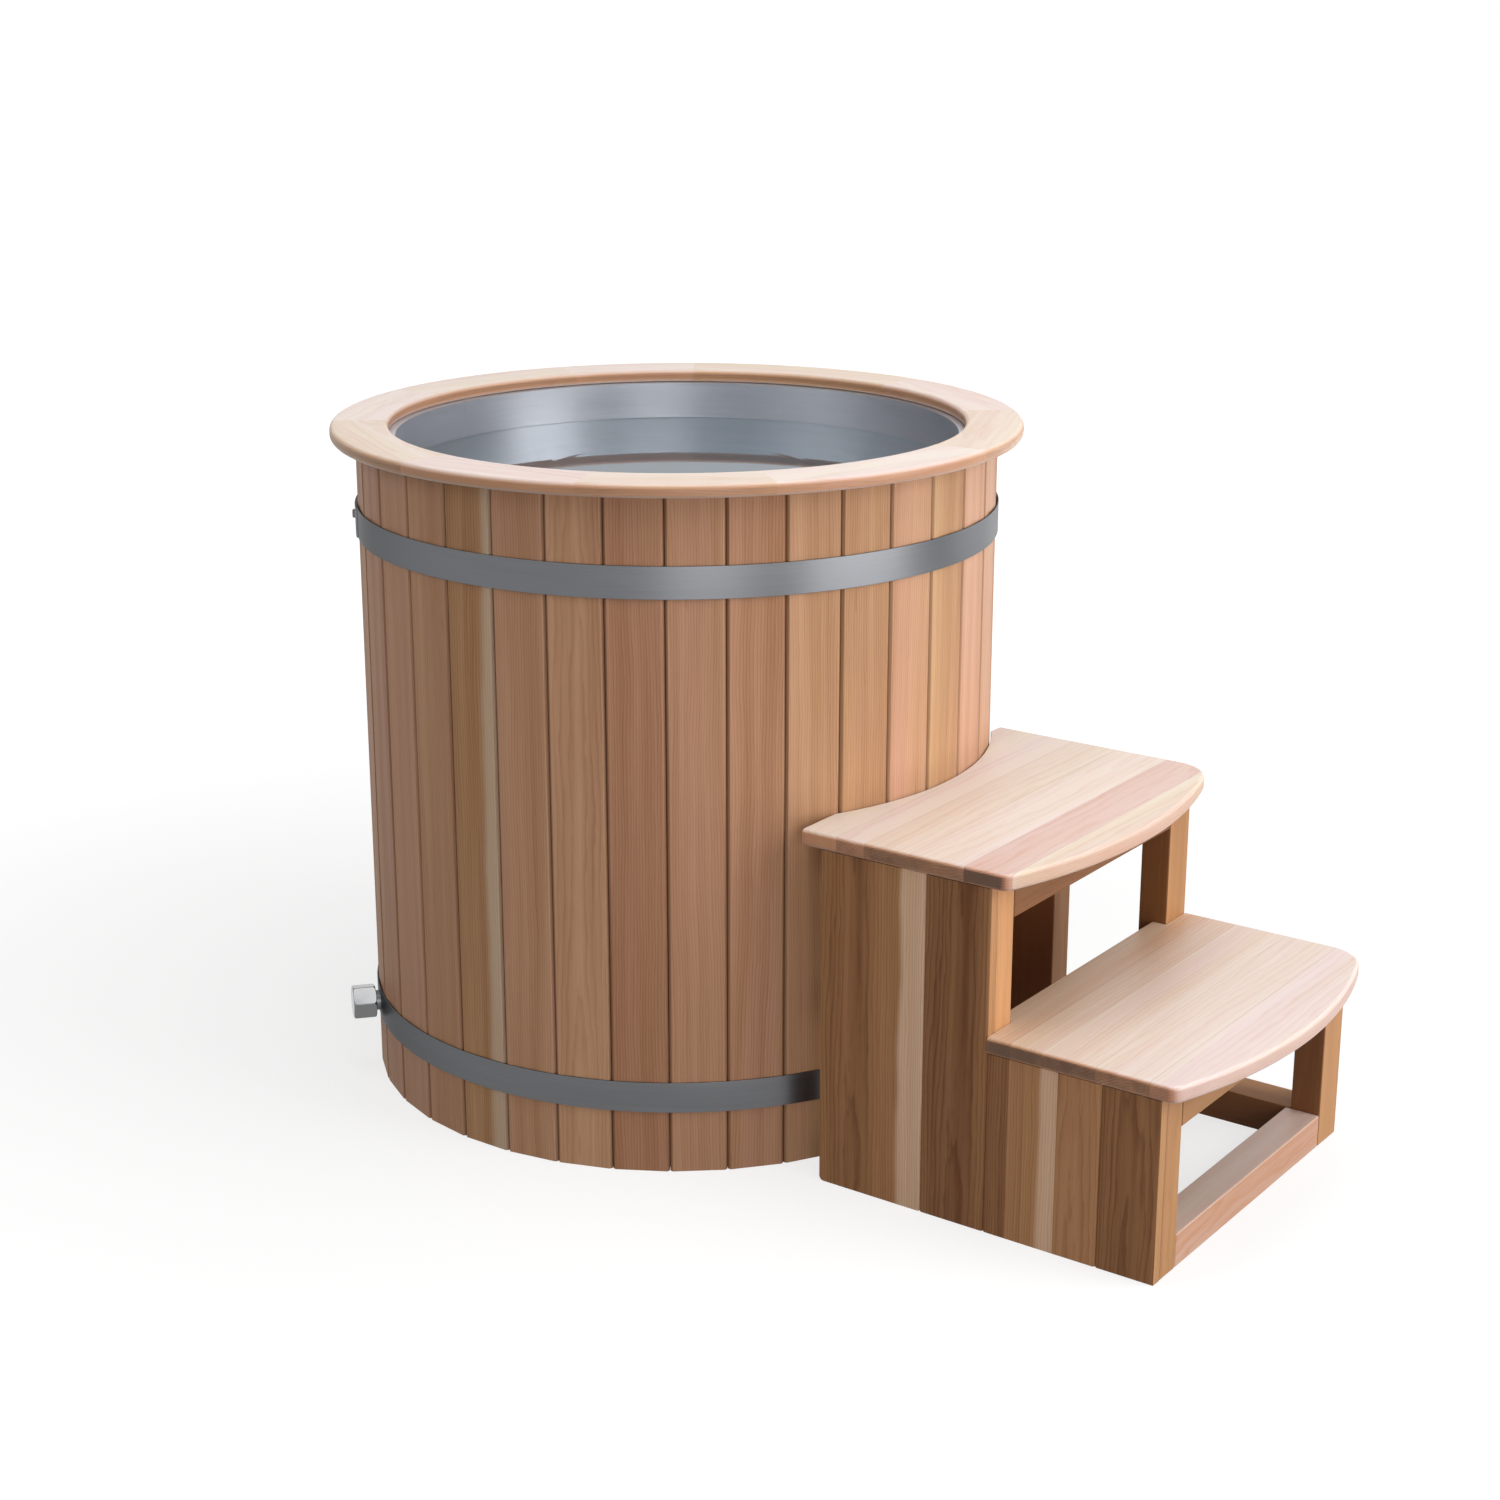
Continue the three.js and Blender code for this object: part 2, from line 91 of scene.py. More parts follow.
def pick(mode, test):
    """Selects the vertices, edges or faces whose middle and direction pass a test."""
    bpy.ops.mesh.select_mode(type=mode)
    bpy.ops.mesh.select_all(action="DESELECT")
    mesh = bpy.context.edit_object.data
    net = bmesh.from_edit_mesh(mesh)
    if mode == "VERT":
        found = [(v, v.co, v.normal) for v in net.verts]
    elif mode == "EDGE":
        ends = [(e, e.verts[0].co, e.verts[1].co) for e in net.edges]
        found = [(e, (a + b) / 2, (b - a).normalized()) for e, a, b in ends]
    else:
        found = [(f, f.calc_center_median(), f.normal) for f in net.faces]
    for item, middle, way in found:
        if test(middle, way):
            item.select_set(True)
    net.select_flush_mode()
    bmesh.update_edit_mesh(mesh)


def reach(node):
    """Nearest and farthest corner of a node from the tub's axis."""
    away = [vertex.co.xy.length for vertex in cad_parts[node].data.vertices]
    return min(away), max(away)


# %% [markdown]
# Most wooden pieces start as a block between two corners. A real board has its sharp edges eased with
# sandpaper, and that small round edge is what catches the light, so nearly every piece ends with a narrow
# Bevel modifier. Turned pieces, such as the rim, start as an upright plane with rounded corners that is spun
# round the tub's axis.

# %% Helpers for blocks, sections and finished edges
def add_block(name, low, high):
    alone()
    low, high = Vector(low), Vector(high)
    bpy.ops.mesh.primitive_cube_add(size=1, location=(low + high) / 2)
    return named(name, high - low)


def add_section(name, x0, x1, z0, z1, rounding=0.0, steps=1):
    """An upright rounded rectangle between two radii and two heights, as bare edges."""
    alone()
    middle = ((x0 + x1) / 2, 0, (z0 + z1) / 2)
    bpy.ops.mesh.primitive_plane_add(size=1, location=middle, rotation=(QUARTER, 0, 0))
    piece = named(name, (x1 - x0, z1 - z0, 1))
    open_piece(piece)
    bpy.ops.mesh.select_all(action="SELECT")
    if rounding:
        bpy.ops.mesh.bevel(affect="VERTICES", offset=rounding, segments=steps, profile=0.5)
    return piece


def spin_round(steps):
    """Spins the open section all the way round the tub's axis and closes the seam."""
    bpy.ops.mesh.select_all(action="SELECT")
    bpy.ops.mesh.delete(type="ONLY_FACE")
    bpy.ops.mesh.select_all(action="SELECT")
    bpy.ops.mesh.spin(steps=steps, angle=2 * math.pi, center=(0, 0, 0), axis=(0, 0, 1))
    tidy_shell()


def spin_part(piece, steps, angle, azimuth):
    """Spins the open section through a part of a turn, centred on an azimuth."""
    bpy.ops.mesh.select_all(action="SELECT")
    bpy.ops.mesh.spin(steps=steps, angle=angle, center=(0, 0, 0), axis=(0, 0, 1))
    tidy_shell()
    close_piece()
    corners = [math.atan2(vertex.co.y, vertex.co.x) for vertex in piece.data.vertices]
    turn(piece, azimuth - math.degrees(sum(corners) / len(corners)))


def tidy_shell():
    bpy.ops.mesh.select_all(action="SELECT")
    bpy.ops.mesh.remove_doubles(threshold=0.00002)
    bpy.ops.mesh.normals_make_consistent(inside=False)


def modify(piece, kind, **settings):
    """Adds a modifier with its settings and applies it."""
    alone(piece)
    modifier = piece.modifiers.new(kind.title(), kind)
    for key, value in settings.items():
        setattr(modifier, key, value)
    bpy.ops.object.modifier_apply(modifier=modifier.name)


def ease(piece, width, segments=2, angle=30):
    modify(
        piece, "BEVEL", width=width, segments=segments, limit_method="ANGLE",
        angle_limit=math.radians(angle), use_clamp_overlap=True,
    )


def smooth(piece, angle=35):
    """Shades the eased edges round, and weights the normals so that the flat faces stay flat."""
    alone(piece)
    bpy.ops.object.shade_smooth_by_angle(angle=math.radians(angle))
    modify(piece, "WEIGHTED_NORMAL", keep_sharp=True)


def carve(piece, tool, operation="DIFFERENCE"):
    """Cuts one piece with another and throws the tool away."""
    modify(piece, "BOOLEAN", object=tool, operation=operation, solver="EXACT")
    bpy.data.objects.remove(tool)


def joined(name, pieces):
    """Joins several meshes into one piece."""
    alone(pieces[0])
    for piece in pieces:
        piece.select_set(True)
    bpy.ops.object.join()
    return named(name)


def turn(piece, azimuth):
    """Turns a piece round the tub's axis and puts the turn into its mesh."""
    alone(piece)
    piece.rotation_euler.z = math.radians(azimuth)
    bpy.ops.object.transform_apply(location=True, rotation=True, scale=True)


def place(piece, body, finish, slot, *nodes):
    """Gives a finished piece its material and body, and hides the nodes it stands for. The slot is not used."""
    piece.data.materials.clear()
    piece.data.materials.append(finish)
    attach(piece, body)
    if nodes:
        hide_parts(*nodes)
    alone()


print("hands ready")

# %% [markdown]
# ## Camera
# The photograph was taken from a little over the rim, on the corner between the steps' boarded side and their
# front. The lens and the place come from fitting the rim's and the treads' curves.

# %% Camera
alone()
bpy.ops.object.camera_add(
    location=(2.4969, -3.2713, 1.7837),
    rotation=(math.radians(90 - 17.225), 0, math.radians(35.776)),
)
camera = bpy.context.active_object
camera.name = "photo_camera"
camera.data.lens = 63.51
camera.data.sensor_width = 36
bpy.context.scene.camera = camera
print("camera", [round(v, 2) for v in camera.location], "lens", camera.data.lens)

# %% [markdown]
# ## Finishes
# A material is a graph of nodes. Written out one by one the nodes hide the idea, so sums are written as Python
# sums: a Wire is one node output, and adding two wires adds a Math node. Every other node comes from one
# method, which sets the node's settings first and then fills its sockets.

# %% Wires and finishes
class Wire:
    """One output of a node, which can be used in sums."""

    def __init__(self, finish, socket):
        self.finish, self.socket = finish, socket

    def maths(self, operation, first, second):
        return self.finish.node("ShaderNodeMath", {"operation": operation}, {0: first, 1: second})

    def __add__(self, other):
        return self.maths("ADD", self, other)

    def __sub__(self, other):
        return self.maths("SUBTRACT", self, other)

    def __rsub__(self, other):
        return self.maths("SUBTRACT", other, self)

    def __mul__(self, other):
        return self.maths("MULTIPLY", self, other)

    def __truediv__(self, other):
        return self.maths("DIVIDE", self, other)

    def __pow__(self, other):
        return self.maths("POWER", self, other)

    def __abs__(self):
        return self.maths("ABSOLUTE", self, 0)

    __radd__ = __add__
    __rmul__ = __mul__


class Finish:
    """A material whose nodes are added one call at a time."""

    def __init__(self, name, **constants):
        self.material = bpy.data.materials.new(name)
        self.material.use_nodes = True
        self.tree = self.material.node_tree
        self.shader = self.tree.nodes["Principled BSDF"]
        for socket, value in constants.items():
            self.shader.inputs[socket.replace("_", " ")].default_value = value

    def node(self, kind, settings=None, sockets=None, output=0):
        made = self.tree.nodes.new(kind)
        for key, value in (settings or {}).items():
            setattr(made, key, value)
        for key, value in (sockets or {}).items():
            if isinstance(value, Wire):
                self.tree.links.new(value.socket, made.inputs[key])
            else:
                made.inputs[key].default_value = value
        return Wire(self, made.outputs[output])

    def attribute(self, name):
        """The three numbers that a piece's attribute holds at each point."""
        held = self.node("ShaderNodeAttribute", {"attribute_name": name}, output="Vector")
        return [self.node("ShaderNodeSeparateXYZ", sockets={0: held}, output=i) for i in range(3)]

    def noise(self, x, y, z, detail=2.0, roughness=0.5):
        """Soft noise around zero, at a point whose three scales are already in its coordinates."""
        point = self.node("ShaderNodeCombineXYZ", sockets={0: x, 1: y, 2: z})
        sockets = {"Vector": point, "Scale": 1.0, "Detail": detail, "Roughness": roughness}
        return self.node("ShaderNodeTexNoise", {"noise_dimensions": "3D"}, sockets) - 0.5

    def ramp(self, value, low, high):
        """Zero below low, one above high, and smooth between."""
        settings = {"interpolation_type": "SMOOTHSTEP"}
        return self.node("ShaderNodeMapRange", settings, {0: value, 1: low, 2: high, 3: 0.0, 4: 1.0})

    def mix(self, share, first, second, blend="MIX"):
        settings = {"data_type": "RGBA", "blend_type": blend, "clamp_factor": True}
        colours = {0: share, 6: first, 7: second}
        return self.node("ShaderNodeMix", settings, colours, output=2)

    def wear(self, base=None, roughness=None, height=None, depth=0.0004, strength=0.3):
        """Links what varies to the shader: colour, roughness and a bump."""
        if base:
            self.tree.links.new(base.socket, self.shader.inputs["Base Color"])
        if roughness:
            self.tree.links.new(roughness.socket, self.shader.inputs["Roughness"])
        if height:
            sockets = {"Strength": strength, "Distance": depth, "Height": height}
            bump = self.node("ShaderNodeBump", sockets=sockets)
            self.tree.links.new(bump.socket, self.shader.inputs["Normal"])
        return self.material


print("finishes ready")

# %% [markdown]
# ### Wood
# Each board is cut from a trunk, so its figure is a slice through growth rings. Where the trunk's middle, the
# pith, lies beside the board, its face shows straight lines; where it lies behind the board, the rings open
# into long arches. So each board carries its own coordinates, measured from its pith: along, across and
# through the wood. A ring is then just the distance from the pith, and end grain comes out right by itself.
# A second attribute holds the board's tone, the distance at which pale sapwood starts, and how near a glued
# joint the point is. A third holds its hue, from golden to rosy. Sawn ends drink more oil than planed faces, so
# they get a darker tone, and upright faces can get a darker tone as painted shade: one is the dark colour, and
# two is the deepest.

# %% Board coordinates
END_GRAIN = 1.42


class Board:
    """One board: its directions, a point in it, and where in the trunk it was cut."""

    def __init__(self, seed, along, across, origin=(0, 0, 0), tone=None, sap=None, arched=False, half=None, hue=None):
        chance = random.Random(seed)
        self.along, self.across = Vector(along).normalized(), Vector(across).normalized()
        self.through = self.along.cross(self.across)
        self.origin, self.half = Vector(origin), half
        distance, side = chance.uniform(0.11, 0.24), chance.choice((-1, 1))
        if sap:
            side = math.copysign(1, sap)
        self.pith = (side * distance, distance * chance.uniform(-0.4, 0.4))
        if arched:
            self.pith = (chance.uniform(-0.01, 0.01), 0.055)
        self.sap = math.hypot(self.pith[0] + sap, self.pith[1]) if sap else 9.0
        self.start = chance.uniform(0, 50)
        self.lean = chance.uniform(-0.012, 0.012)
        drawn = min(1.0, max(0.0, chance.gauss(0.5, 0.18))), chance.random()
        self.tone = drawn[0] if tone is None else tone
        self.hue = drawn[1] if hue is None else hue
        self.thirst = END_GRAIN * chance.uniform(0.78, 1.12)

    def grain(self, point):
        offset = point - self.origin
        along, across = offset.dot(self.along), offset.dot(self.across)
        through = offset.dot(self.through) + self.pith[1]
        return along + self.start, across + self.pith[0] + along * self.lean, through

    def kind(self, point):
        edge = (point - self.origin).dot(self.across) / self.half if self.half else 0.0
        return self.tone, self.sap, edge


def lay_grain(piece, board_at, side_tone=0.0):
    """Writes each face corner's place in its own board, and that board's kind."""
    mesh = piece.data
    for name, form in (("grain", "FLOAT_VECTOR"), ("kind", "FLOAT_VECTOR"), ("hue", "FLOAT")):
        mesh.attributes.new(name, form, "CORNER")
    grain, kind, hue = [mesh.attributes[name] for name in ("grain", "kind", "hue")]
    for face in mesh.polygons:
        board = board_at(face.center)
        # The end-grain part is the wood's own tone; the side part darkens upright faces as painted shade.
        end_grain_and_side_shade = max(board.thirst * abs(face.normal.dot(board.along)) ** 3, side_tone * (1 - abs(face.normal.z)))
        for corner in face.loop_indices:
            point = mesh.vertices[mesh.loops[corner].vertex_index].co
            tone, sap, edge = board.kind(point)
            grain.data[corner].vector = board.grain(point)
            kind.data[corner].vector = tone + end_grain_and_side_shade, sap, edge
            hue.data[corner].value = board.hue


print("a board's pith is", [round(v, 3) for v in Board(1, (0, 0, 1), (0, 1, 0)).pith])

# %% [markdown]
# The same graph makes every wood here, and only its colours and its contrast change: pale, sanded wood on the
# rim and treads, warmer wood on the staves, and the darkest on the steps' frame and boards.

# %% Wood finishes
def wood(name, pale, dark, sapwood, contrast=1.0, roughness=0.55, gloss=0.3):
    f = Finish(name, Specular_IOR_Level=gloss)
    along, across, through = f.attribute("grain")
    tone, sap, edge = f.attribute("kind")
    bend = f.noise(along * 1.9, across * 7, through * 7, 2.0)
    sway = f.noise(along * 1.3 + 7.0, across * 9, through * 9, 1.0)
    ripple = f.noise(along * 11, across * 60, through * 60, 2.0)
    away = ((across + bend * 0.022) ** 2 + (through + sway * 0.030) ** 2) ** 0.5
    streak = f.noise(along * 1.1, (across + bend * 0.02) * 48, through * 48, 4.0, 0.62)
    ring = f.node("ShaderNodeMath", {"operation": "FRACT"}, {0: away * 230 + ripple * 1.3 + streak * 1.5})
    late = ring ** 3 * f.ramp(1 - ring, 0.0, 0.16)
    band = f.noise(along * 0.5 + 3.0, across * 13, through * 13, 1.0)
    fibre = f.noise(along * 26, across * 620, through * 620, 2.0, 0.6)
    pore = f.ramp(f.noise(along * 34, across * 1100, through * 1100, 1.0), 0.16, 0.3)
    fleck = f.ramp(f.noise(along * 9 + 5.0, across * 150, through * 150, 1.0), 0.27, 0.36)
    share = tone + contrast * (late * 0.32 + streak * 0.78 + band * 0.62 + fibre * 0.14 + pore * 0.08 + fleck * 0.30)
    colour = f.mix(share, (*pale, 1), (*dark, 1))
    colour = f.mix(f.ramp(share, 1.0, 2.0), colour, (*[v * 0.22 for v in dark], 1))
    hue = f.node("ShaderNodeAttribute", {"attribute_name": "hue"}, output="Fac")
    rosy = f.noise(along * 0.7 + 11.0, across * 21, through * 21, 2.0) * 1.6 + hue
    tint = f.mix(rosy, (1.0, 1.0, 0.84, 1), (1.0, 0.93, 0.95, 1))
    colour = f.mix(1.0, colour, tint, "MULTIPLY")
    wander = f.noise(along * 4.5 + 2.0, 0.0, 0.0, 2.0)
    outer = f.ramp(away - sap + streak * 0.012 + sway * 0.030 + wander * 0.022, -0.007, 0.006)
    colour = f.mix(outer * (0.84 - late * 0.45 + streak * 0.8 + fibre * 0.15), colour, (*sapwood, 1))
    # Near a board's edge the colour darkens: painted shade in the V grooves, and the same darkening at glued joints.
    joint = f.ramp(abs(edge), 0.975, 1.0)
    groove = joint * 0.30 + f.ramp(abs(edge), 1.0, 1.06) * 0.25
    colour = f.mix(groove, colour, (*[v * 0.35 for v in dark], 1))
    rough = roughness + fibre * 0.20 + late * 0.08 + streak * 0.10
    height = late * 0.5 + fibre * 0.9 - pore * 0.4 - joint * 0.6
    return f.wear(colour, rough, height, depth=0.0005, strength=0.35)


stave_wood = wood("stave_finish", (0.62, 0.37, 0.235), (0.335, 0.158, 0.078), (0.64, 0.48, 0.34), 1.35)
rim_wood = wood("rim_finish", (0.75, 0.675, 0.645), (0.53, 0.285, 0.165), (0.78, 0.68, 0.60), 0.62, 0.40, 0.4)
tread_wood = wood("tread_finish", (0.76, 0.68, 0.65), (0.54, 0.27, 0.155), (0.78, 0.68, 0.60), 0.75, 0.40, 0.4)
frame_wood = wood("frame_finish", (0.63, 0.325, 0.16), (0.20, 0.08, 0.03), (0.62, 0.44, 0.30), 0.5)
board_wood = wood("board_finish", (0.53, 0.275, 0.135), (0.13, 0.044, 0.013), (0.77, 0.51, 0.34), 1.15)
base_wood = wood("base_finish", (0.46, 0.30, 0.19), (0.30, 0.18, 0.11), (0.56, 0.42, 0.30), 0.8, 0.65)
print("wood finishes", [m.name for m in (stave_wood, rim_wood, tread_wood, frame_wood, board_wood, base_wood)])

# %% [markdown]
# ### Steel
# The hoops and the liner are rolled sheet with a brushed face: very fine lines that all run the same way. The
# lines are too fine to model, so they are noise that is stretched along the sheet, in the roughness and in a
# slight bump. The drain cap is chrome, which is nearly a mirror with faint smears.

# %% Steel finishes
def brushed(name, colour, roughness, lines=900.0, edge=1.0):
    f = Finish(name, Metallic=1.0, Specular_Tint=(edge, edge, edge, 1))
    along, across, through = f.attribute("grain")
    line = f.noise(along * 5, across * lines, through * lines, 2.0, 0.6)
    smear = f.noise(along * 3, across * 14, through * 14, 3.0)
    share = 0.5 + line * 0.9 + smear * 0.8
    tint = f.mix(share, (*[v * 0.86 for v in colour], 1), (*[min(1, v * 1.14) for v in colour], 1))
    return f.wear(tint, roughness + line * 0.16 + smear * 0.12, line, depth=0.0001, strength=0.25)


def plated(name, colour, roughness):
    f = Finish(name, Metallic=1.0)
    place_in = f.node("ShaderNodeTexCoord", output="Object")
    x, y, z = [f.node("ShaderNodeSeparateXYZ", sockets={0: place_in}, output=i) for i in range(3)]
    smear = f.noise(x * 90, y * 90, z * 90, 3.0)
    speck = f.noise(x * 900, y * 900, z * 900, 1.0)
    tint = f.mix(0.5 + smear, (*[v * 0.92 for v in colour], 1), (*colour, 1))
    return f.wear(tint, roughness + smear * 0.08 + speck * 0.04, speck, depth=0.00005, strength=0.1)


hoop_steel = brushed("hoop_finish", (0.135, 0.138, 0.146), 0.34, edge=0.5)
liner_steel = brushed("liner_finish", (0.54, 0.555, 0.60), 0.36, 700.0)
bolt_steel = plated("bolt_finish", (0.20, 0.205, 0.21), 0.38)
chrome = plated("chrome_finish", (0.20, 0.202, 0.206), 0.08)
print("steel finishes", [m.name for m in (hoop_steel, liner_steel, bolt_steel, chrome)])

# %% [markdown]
# ## Staves
# The barrel is 36 equal boards, each a little narrower behind than in front, with its front edges chamfered so
# that two neighbours make a V groove. One stave is modelled from a block: its back face is drawn in, its two
# front edges are bevelled, and a narrow bevel eases what is left. Then it is copied round the axis. One copy is
# drilled for the drain.

# %% One stave
STAVES = 36
STAVE_CHAMFER = 0.003
STAVE_GAP = 0.0003
stave_low, stave_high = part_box("stave_01")
pattern = add_block("stave_pattern", stave_low, stave_high)
open_piece(pattern)
pick("FACE", lambda middle, way: way.x < -0.9)
back_half = stave_low.x * math.tan(math.pi / STAVES) - STAVE_GAP / 2
bpy.ops.transform.resize(value=(1, back_half / stave_high.y, 1))
pick("EDGE", lambda middle, way: abs(way.z) > 0.9 and middle.x > stave_high.x - 0.001)
bpy.ops.mesh.bevel(affect="EDGES", offset=STAVE_CHAMFER * 1.3, offset_type="OFFSET", segments=1)
close_piece()
ease(pattern, 0.0008, 2, 20)
smooth(pattern, 30)
print("a stave is", [round(v * 1000, 1) for v in stave_high - stave_low], "mm,", len(pattern.data.polygons), "faces")

# %% [markdown]
# No two staves have the same tone. Most are chosen by a seeded draw, and a few follow the photograph: one on the
# left has a strip of pale sapwood along its edge, and one in the middle shows arched grain. The V grooves get
# painted shade, so a stave's joints count from a little inside its edges.

# %% Copy the stave round the axis
SAPWOOD = {27: 0.019, 8: -0.03, 15: 0.03}
ARCHED = {29, 4, 12, 20}
TONES = {
    24: 0.40, 25: 0.34, 26: 0.36, 27: 0.62, 28: 0.36, 29: 0.32, 30: 0.70, 31: 0.46, 32: 0.60,
    33: 0.44, 34: 0.48, 35: 0.30, 0: 0.42, 1: 0.22, 2: 0.30,
}
HUES = {24: 0.9, 25: 0.9, 26: 0.7, 27: 0.0, 28: 0.7, 29: 0.5, 30: 0.8, 31: 0.7, 32: 0.8, 33: 0.2, 34: 0.1, 35: 0.7, 0: 0.1, 1: 0.8}
stave_half = stave_high.y
staves = []
for i in range(STAVES):
    alone(pattern)
    bpy.ops.object.duplicate(linked=False)
    stave = bpy.context.active_object
    stave.name = stave.data.name = f"wood_stave_{i + 1:02d}"
    azimuth = 360 / STAVES * i
    turn(stave, azimuth)
    out = Vector((math.cos(math.radians(azimuth)), math.sin(math.radians(azimuth)), 0))
    board = Board(
        100 + i, (0, 0, 1), (-out.y, out.x, 0), out * stave_high.x,
        tone=TONES.get(i), sap=SAPWOOD.get(i), arched=i in ARCHED, half=stave_half * 0.93, hue=HUES.get(i),
    )
    lay_grain(stave, lambda middle: board)
    staves.append(stave)
bpy.data.objects.remove(pattern)
print(len(staves), "staves")

# %% [markdown]
# The drain's tail passes through one stave and both its neighbours in the wall, so that stave is drilled with a
# Boolean. The tool is a plain rod, turned to point straight out.

# %% Drill the drain's stave
drain_low, drain_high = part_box("drain_cap")
fitting_low, fitting_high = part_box("drain_fitting")
drain_height = (fitting_low.z + fitting_high.z) / 2
drain_azimuth = math.degrees(math.atan2(drain_low.y + drain_high.y, drain_low.x + drain_high.x))
DRAIN_STAVE = round(drain_azimuth % 360 / (360 / STAVES))
TAIL_RADIUS = 0.017


def add_rod(name, radius, x0, x1, sides=48, height=drain_height):
    """A rod along +X at the drain's height, before it is turned to its azimuth."""
    alone()
    bpy.ops.mesh.primitive_cylinder_add(
        vertices=sides, radius=radius, depth=x1 - x0, location=((x0 + x1) / 2, 0, height),
        rotation=(0, QUARTER, 0),
    )
    return named(name)


drill = add_rod("drill", TAIL_RADIUS + 0.0005, stave_low.x - 0.02, stave_high.x + 0.02)
turn(drill, drain_azimuth)
carve(staves[DRAIN_STAVE], drill)
smooth(staves[DRAIN_STAVE], 30)
for stave in staves:
    place(stave, "tub", stave_wood, "stave_wood", stave.name.replace("wood_", ""))
print("drain at azimuth", round(drain_azimuth, 1), "height", round(drain_height, 4), "stave", DRAIN_STAVE + 1)

# %% [markdown]
# ## Rim
# The rim is a flat ring with rounded edges, glued from segments of straight-grained board. An upright plane with
# its corners bevelled is the ring's section, and spinning it makes the ring. The faces are then shared out to
# the segments, each with straight grain of its own that runs square to its middle.

# %% Rim
RIM_ROUNDING = 0.007
RIM_STEPS = 180
RIM_JOINTS = (-172, -140, -100, -68, -38, 4, 42, 78, 124, 150)
RIM_TONES = (0.10, 0.20, 0.09, 0.17, 0.09, 0.20, 0.12, 0.23, 0.10, 0.17)
RIM_HUES = (0.6, 0.3, 0.7, 0.35, 0.6, 0.4, 0.75, 0.25, 0.6, 0.5)
rim_low, rim_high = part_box("rim_ring")
rim_inner, rim_outer = reach("rim_ring")
rim = add_section("rim", rim_inner, rim_outer, rim_low.z, rim_high.z, RIM_ROUNDING, 5)
spin_round(RIM_STEPS)
close_piece()
smooth(rim, 40)


def rim_segments():
    made = []
    for n, start in enumerate(RIM_JOINTS):
        end = RIM_JOINTS[(n + 1) % len(RIM_JOINTS)]
        span = (end - start) % 360
        middle = math.radians(start + span / 2)
        out = Vector((math.cos(middle), math.sin(middle), 0))
        segment = Board(
            300 + n, (-out.y, out.x, 0), out, out * (rim_inner + rim_outer) / 2, tone=RIM_TONES[n], hue=RIM_HUES[n]
        )
        made.append((start, span, segment))
    return made


segments = rim_segments()


def rim_board(middle):
    azimuth = math.degrees(math.atan2(middle.y, middle.x))
    return next(board for start, span, board in segments if (azimuth - start) % 360 < span)


# The rim's upright faces take a much darker tone: painted shade, with the light falling from above.
lay_grain(rim, rim_board, side_tone=1.15)
place(rim, "tub", rim_wood, "rim_wood", "rim_ring")
print("rim", round(rim_inner, 3), "to", round(rim_outer, 3), "with", len(segments), "segments")

# %% [markdown]
# ## Liner
# The liner is one vessel of steel sheet, hung by its top flange. It starts as a circle at the top of the wall,
# which is extruded down and filled for the floor. Bevelling the floor's edge gives the rounded corner, and
# extruding the top edge outwards gives the flange. A Solidify modifier then gives the sheet its thickness, and
# a rod drills it for the drain.

# %% Liner
SHEET = 0.002
LINER_SPACE = 0.016
LINER_CORNER = 0.016
LINER_SIDES = 144
liner_low, liner_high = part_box("steel_liner")
liner_outer = stave_low.x - LINER_SPACE
liner_inner = liner_outer - SHEET
alone()
bpy.ops.mesh.primitive_circle_add(vertices=LINER_SIDES, radius=liner_inner, location=(0, 0, liner_high.z))
liner = named("liner")
open_piece(liner)
bpy.ops.mesh.select_all(action="SELECT")
floor_drop = liner_low.z + SHEET - liner_high.z
bpy.ops.mesh.extrude_region_move(TRANSFORM_OT_translate={"value": (0, 0, floor_drop)})
bpy.ops.mesh.edge_face_add()
floor_height = liner_low.z + SHEET
pick("EDGE", lambda middle, way: middle.z < floor_height + 0.001)
bpy.ops.mesh.bevel(affect="EDGES", offset=LINER_CORNER, segments=6, profile=0.5)
pick("EDGE", lambda middle, way: middle.z > liner_high.z - 0.001 and abs(way.z) < 0.1)
flange_share = liner_high.x / liner_inner
bpy.ops.mesh.extrude_region_move(TRANSFORM_OT_translate={"value": (0, 0, 0)})
bpy.ops.transform.resize(value=(flange_share, flange_share, 1), center_override=(0, 0, liner_high.z))
bpy.ops.mesh.select_all(action="SELECT")
bpy.ops.mesh.normals_make_consistent(inside=False)
close_piece()
print("liner floor at", round(floor_height, 4), "wall radius", round(liner_inner, 4), len(liner.data.polygons), "faces")

# %% Thickness, drilling and brushing of the liner
open_piece(liner)
pick("FACE", lambda middle, way: middle.z < floor_height + 0.001)
floor_faces_up = [f.normal.z > 0 for f in bmesh.from_edit_mesh(liner.data).faces if f.select][0]
close_piece()
modify(liner, "SOLIDIFY", thickness=SHEET, offset=-1 if floor_faces_up else 1, use_even_offset=True)
drill = add_rod("drill", TAIL_RADIUS + 0.0005, liner_inner - 0.02, liner_outer + 0.02)
turn(drill, drain_azimuth)
carve(liner, drill)
smooth(liner, 40)


class RoundSheet(Board):
    """Sheet bent round the tub: along runs round it, across runs up it."""

    def __init__(self, radius, turned=0.0):
        super().__init__(1, (1, 0, 0), (0, 1, 0))
        self.radius, self.middle = radius, math.radians(turned)

    def grain(self, point):
        azimuth = math.atan2(point.y, point.x) - self.middle
        along = self.middle + math.remainder(azimuth, 2 * math.pi)
        return along * self.radius, point.z, point.xy.length


lay_grain(liner, lambda middle: RoundSheet(liner_inner))
place(liner, "tub", liner_steel, "liner_steel", "steel_liner")
lowest = min(v.co.z for v in liner.data.vertices)
print("liner from", round(lowest, 4), "frame says", round(liner_low.z, 4))

# %% [markdown]
# ## Hoops
# Each hoop is a flat steel band, drawn tight and bolted where its outer end lies over its inner end. The band is
# a thin section spun all the way round, and the lap is a second, shorter spin on top of it.

# %% Hoops
BAND = 0.002
LAP_LENGTH = 0.14


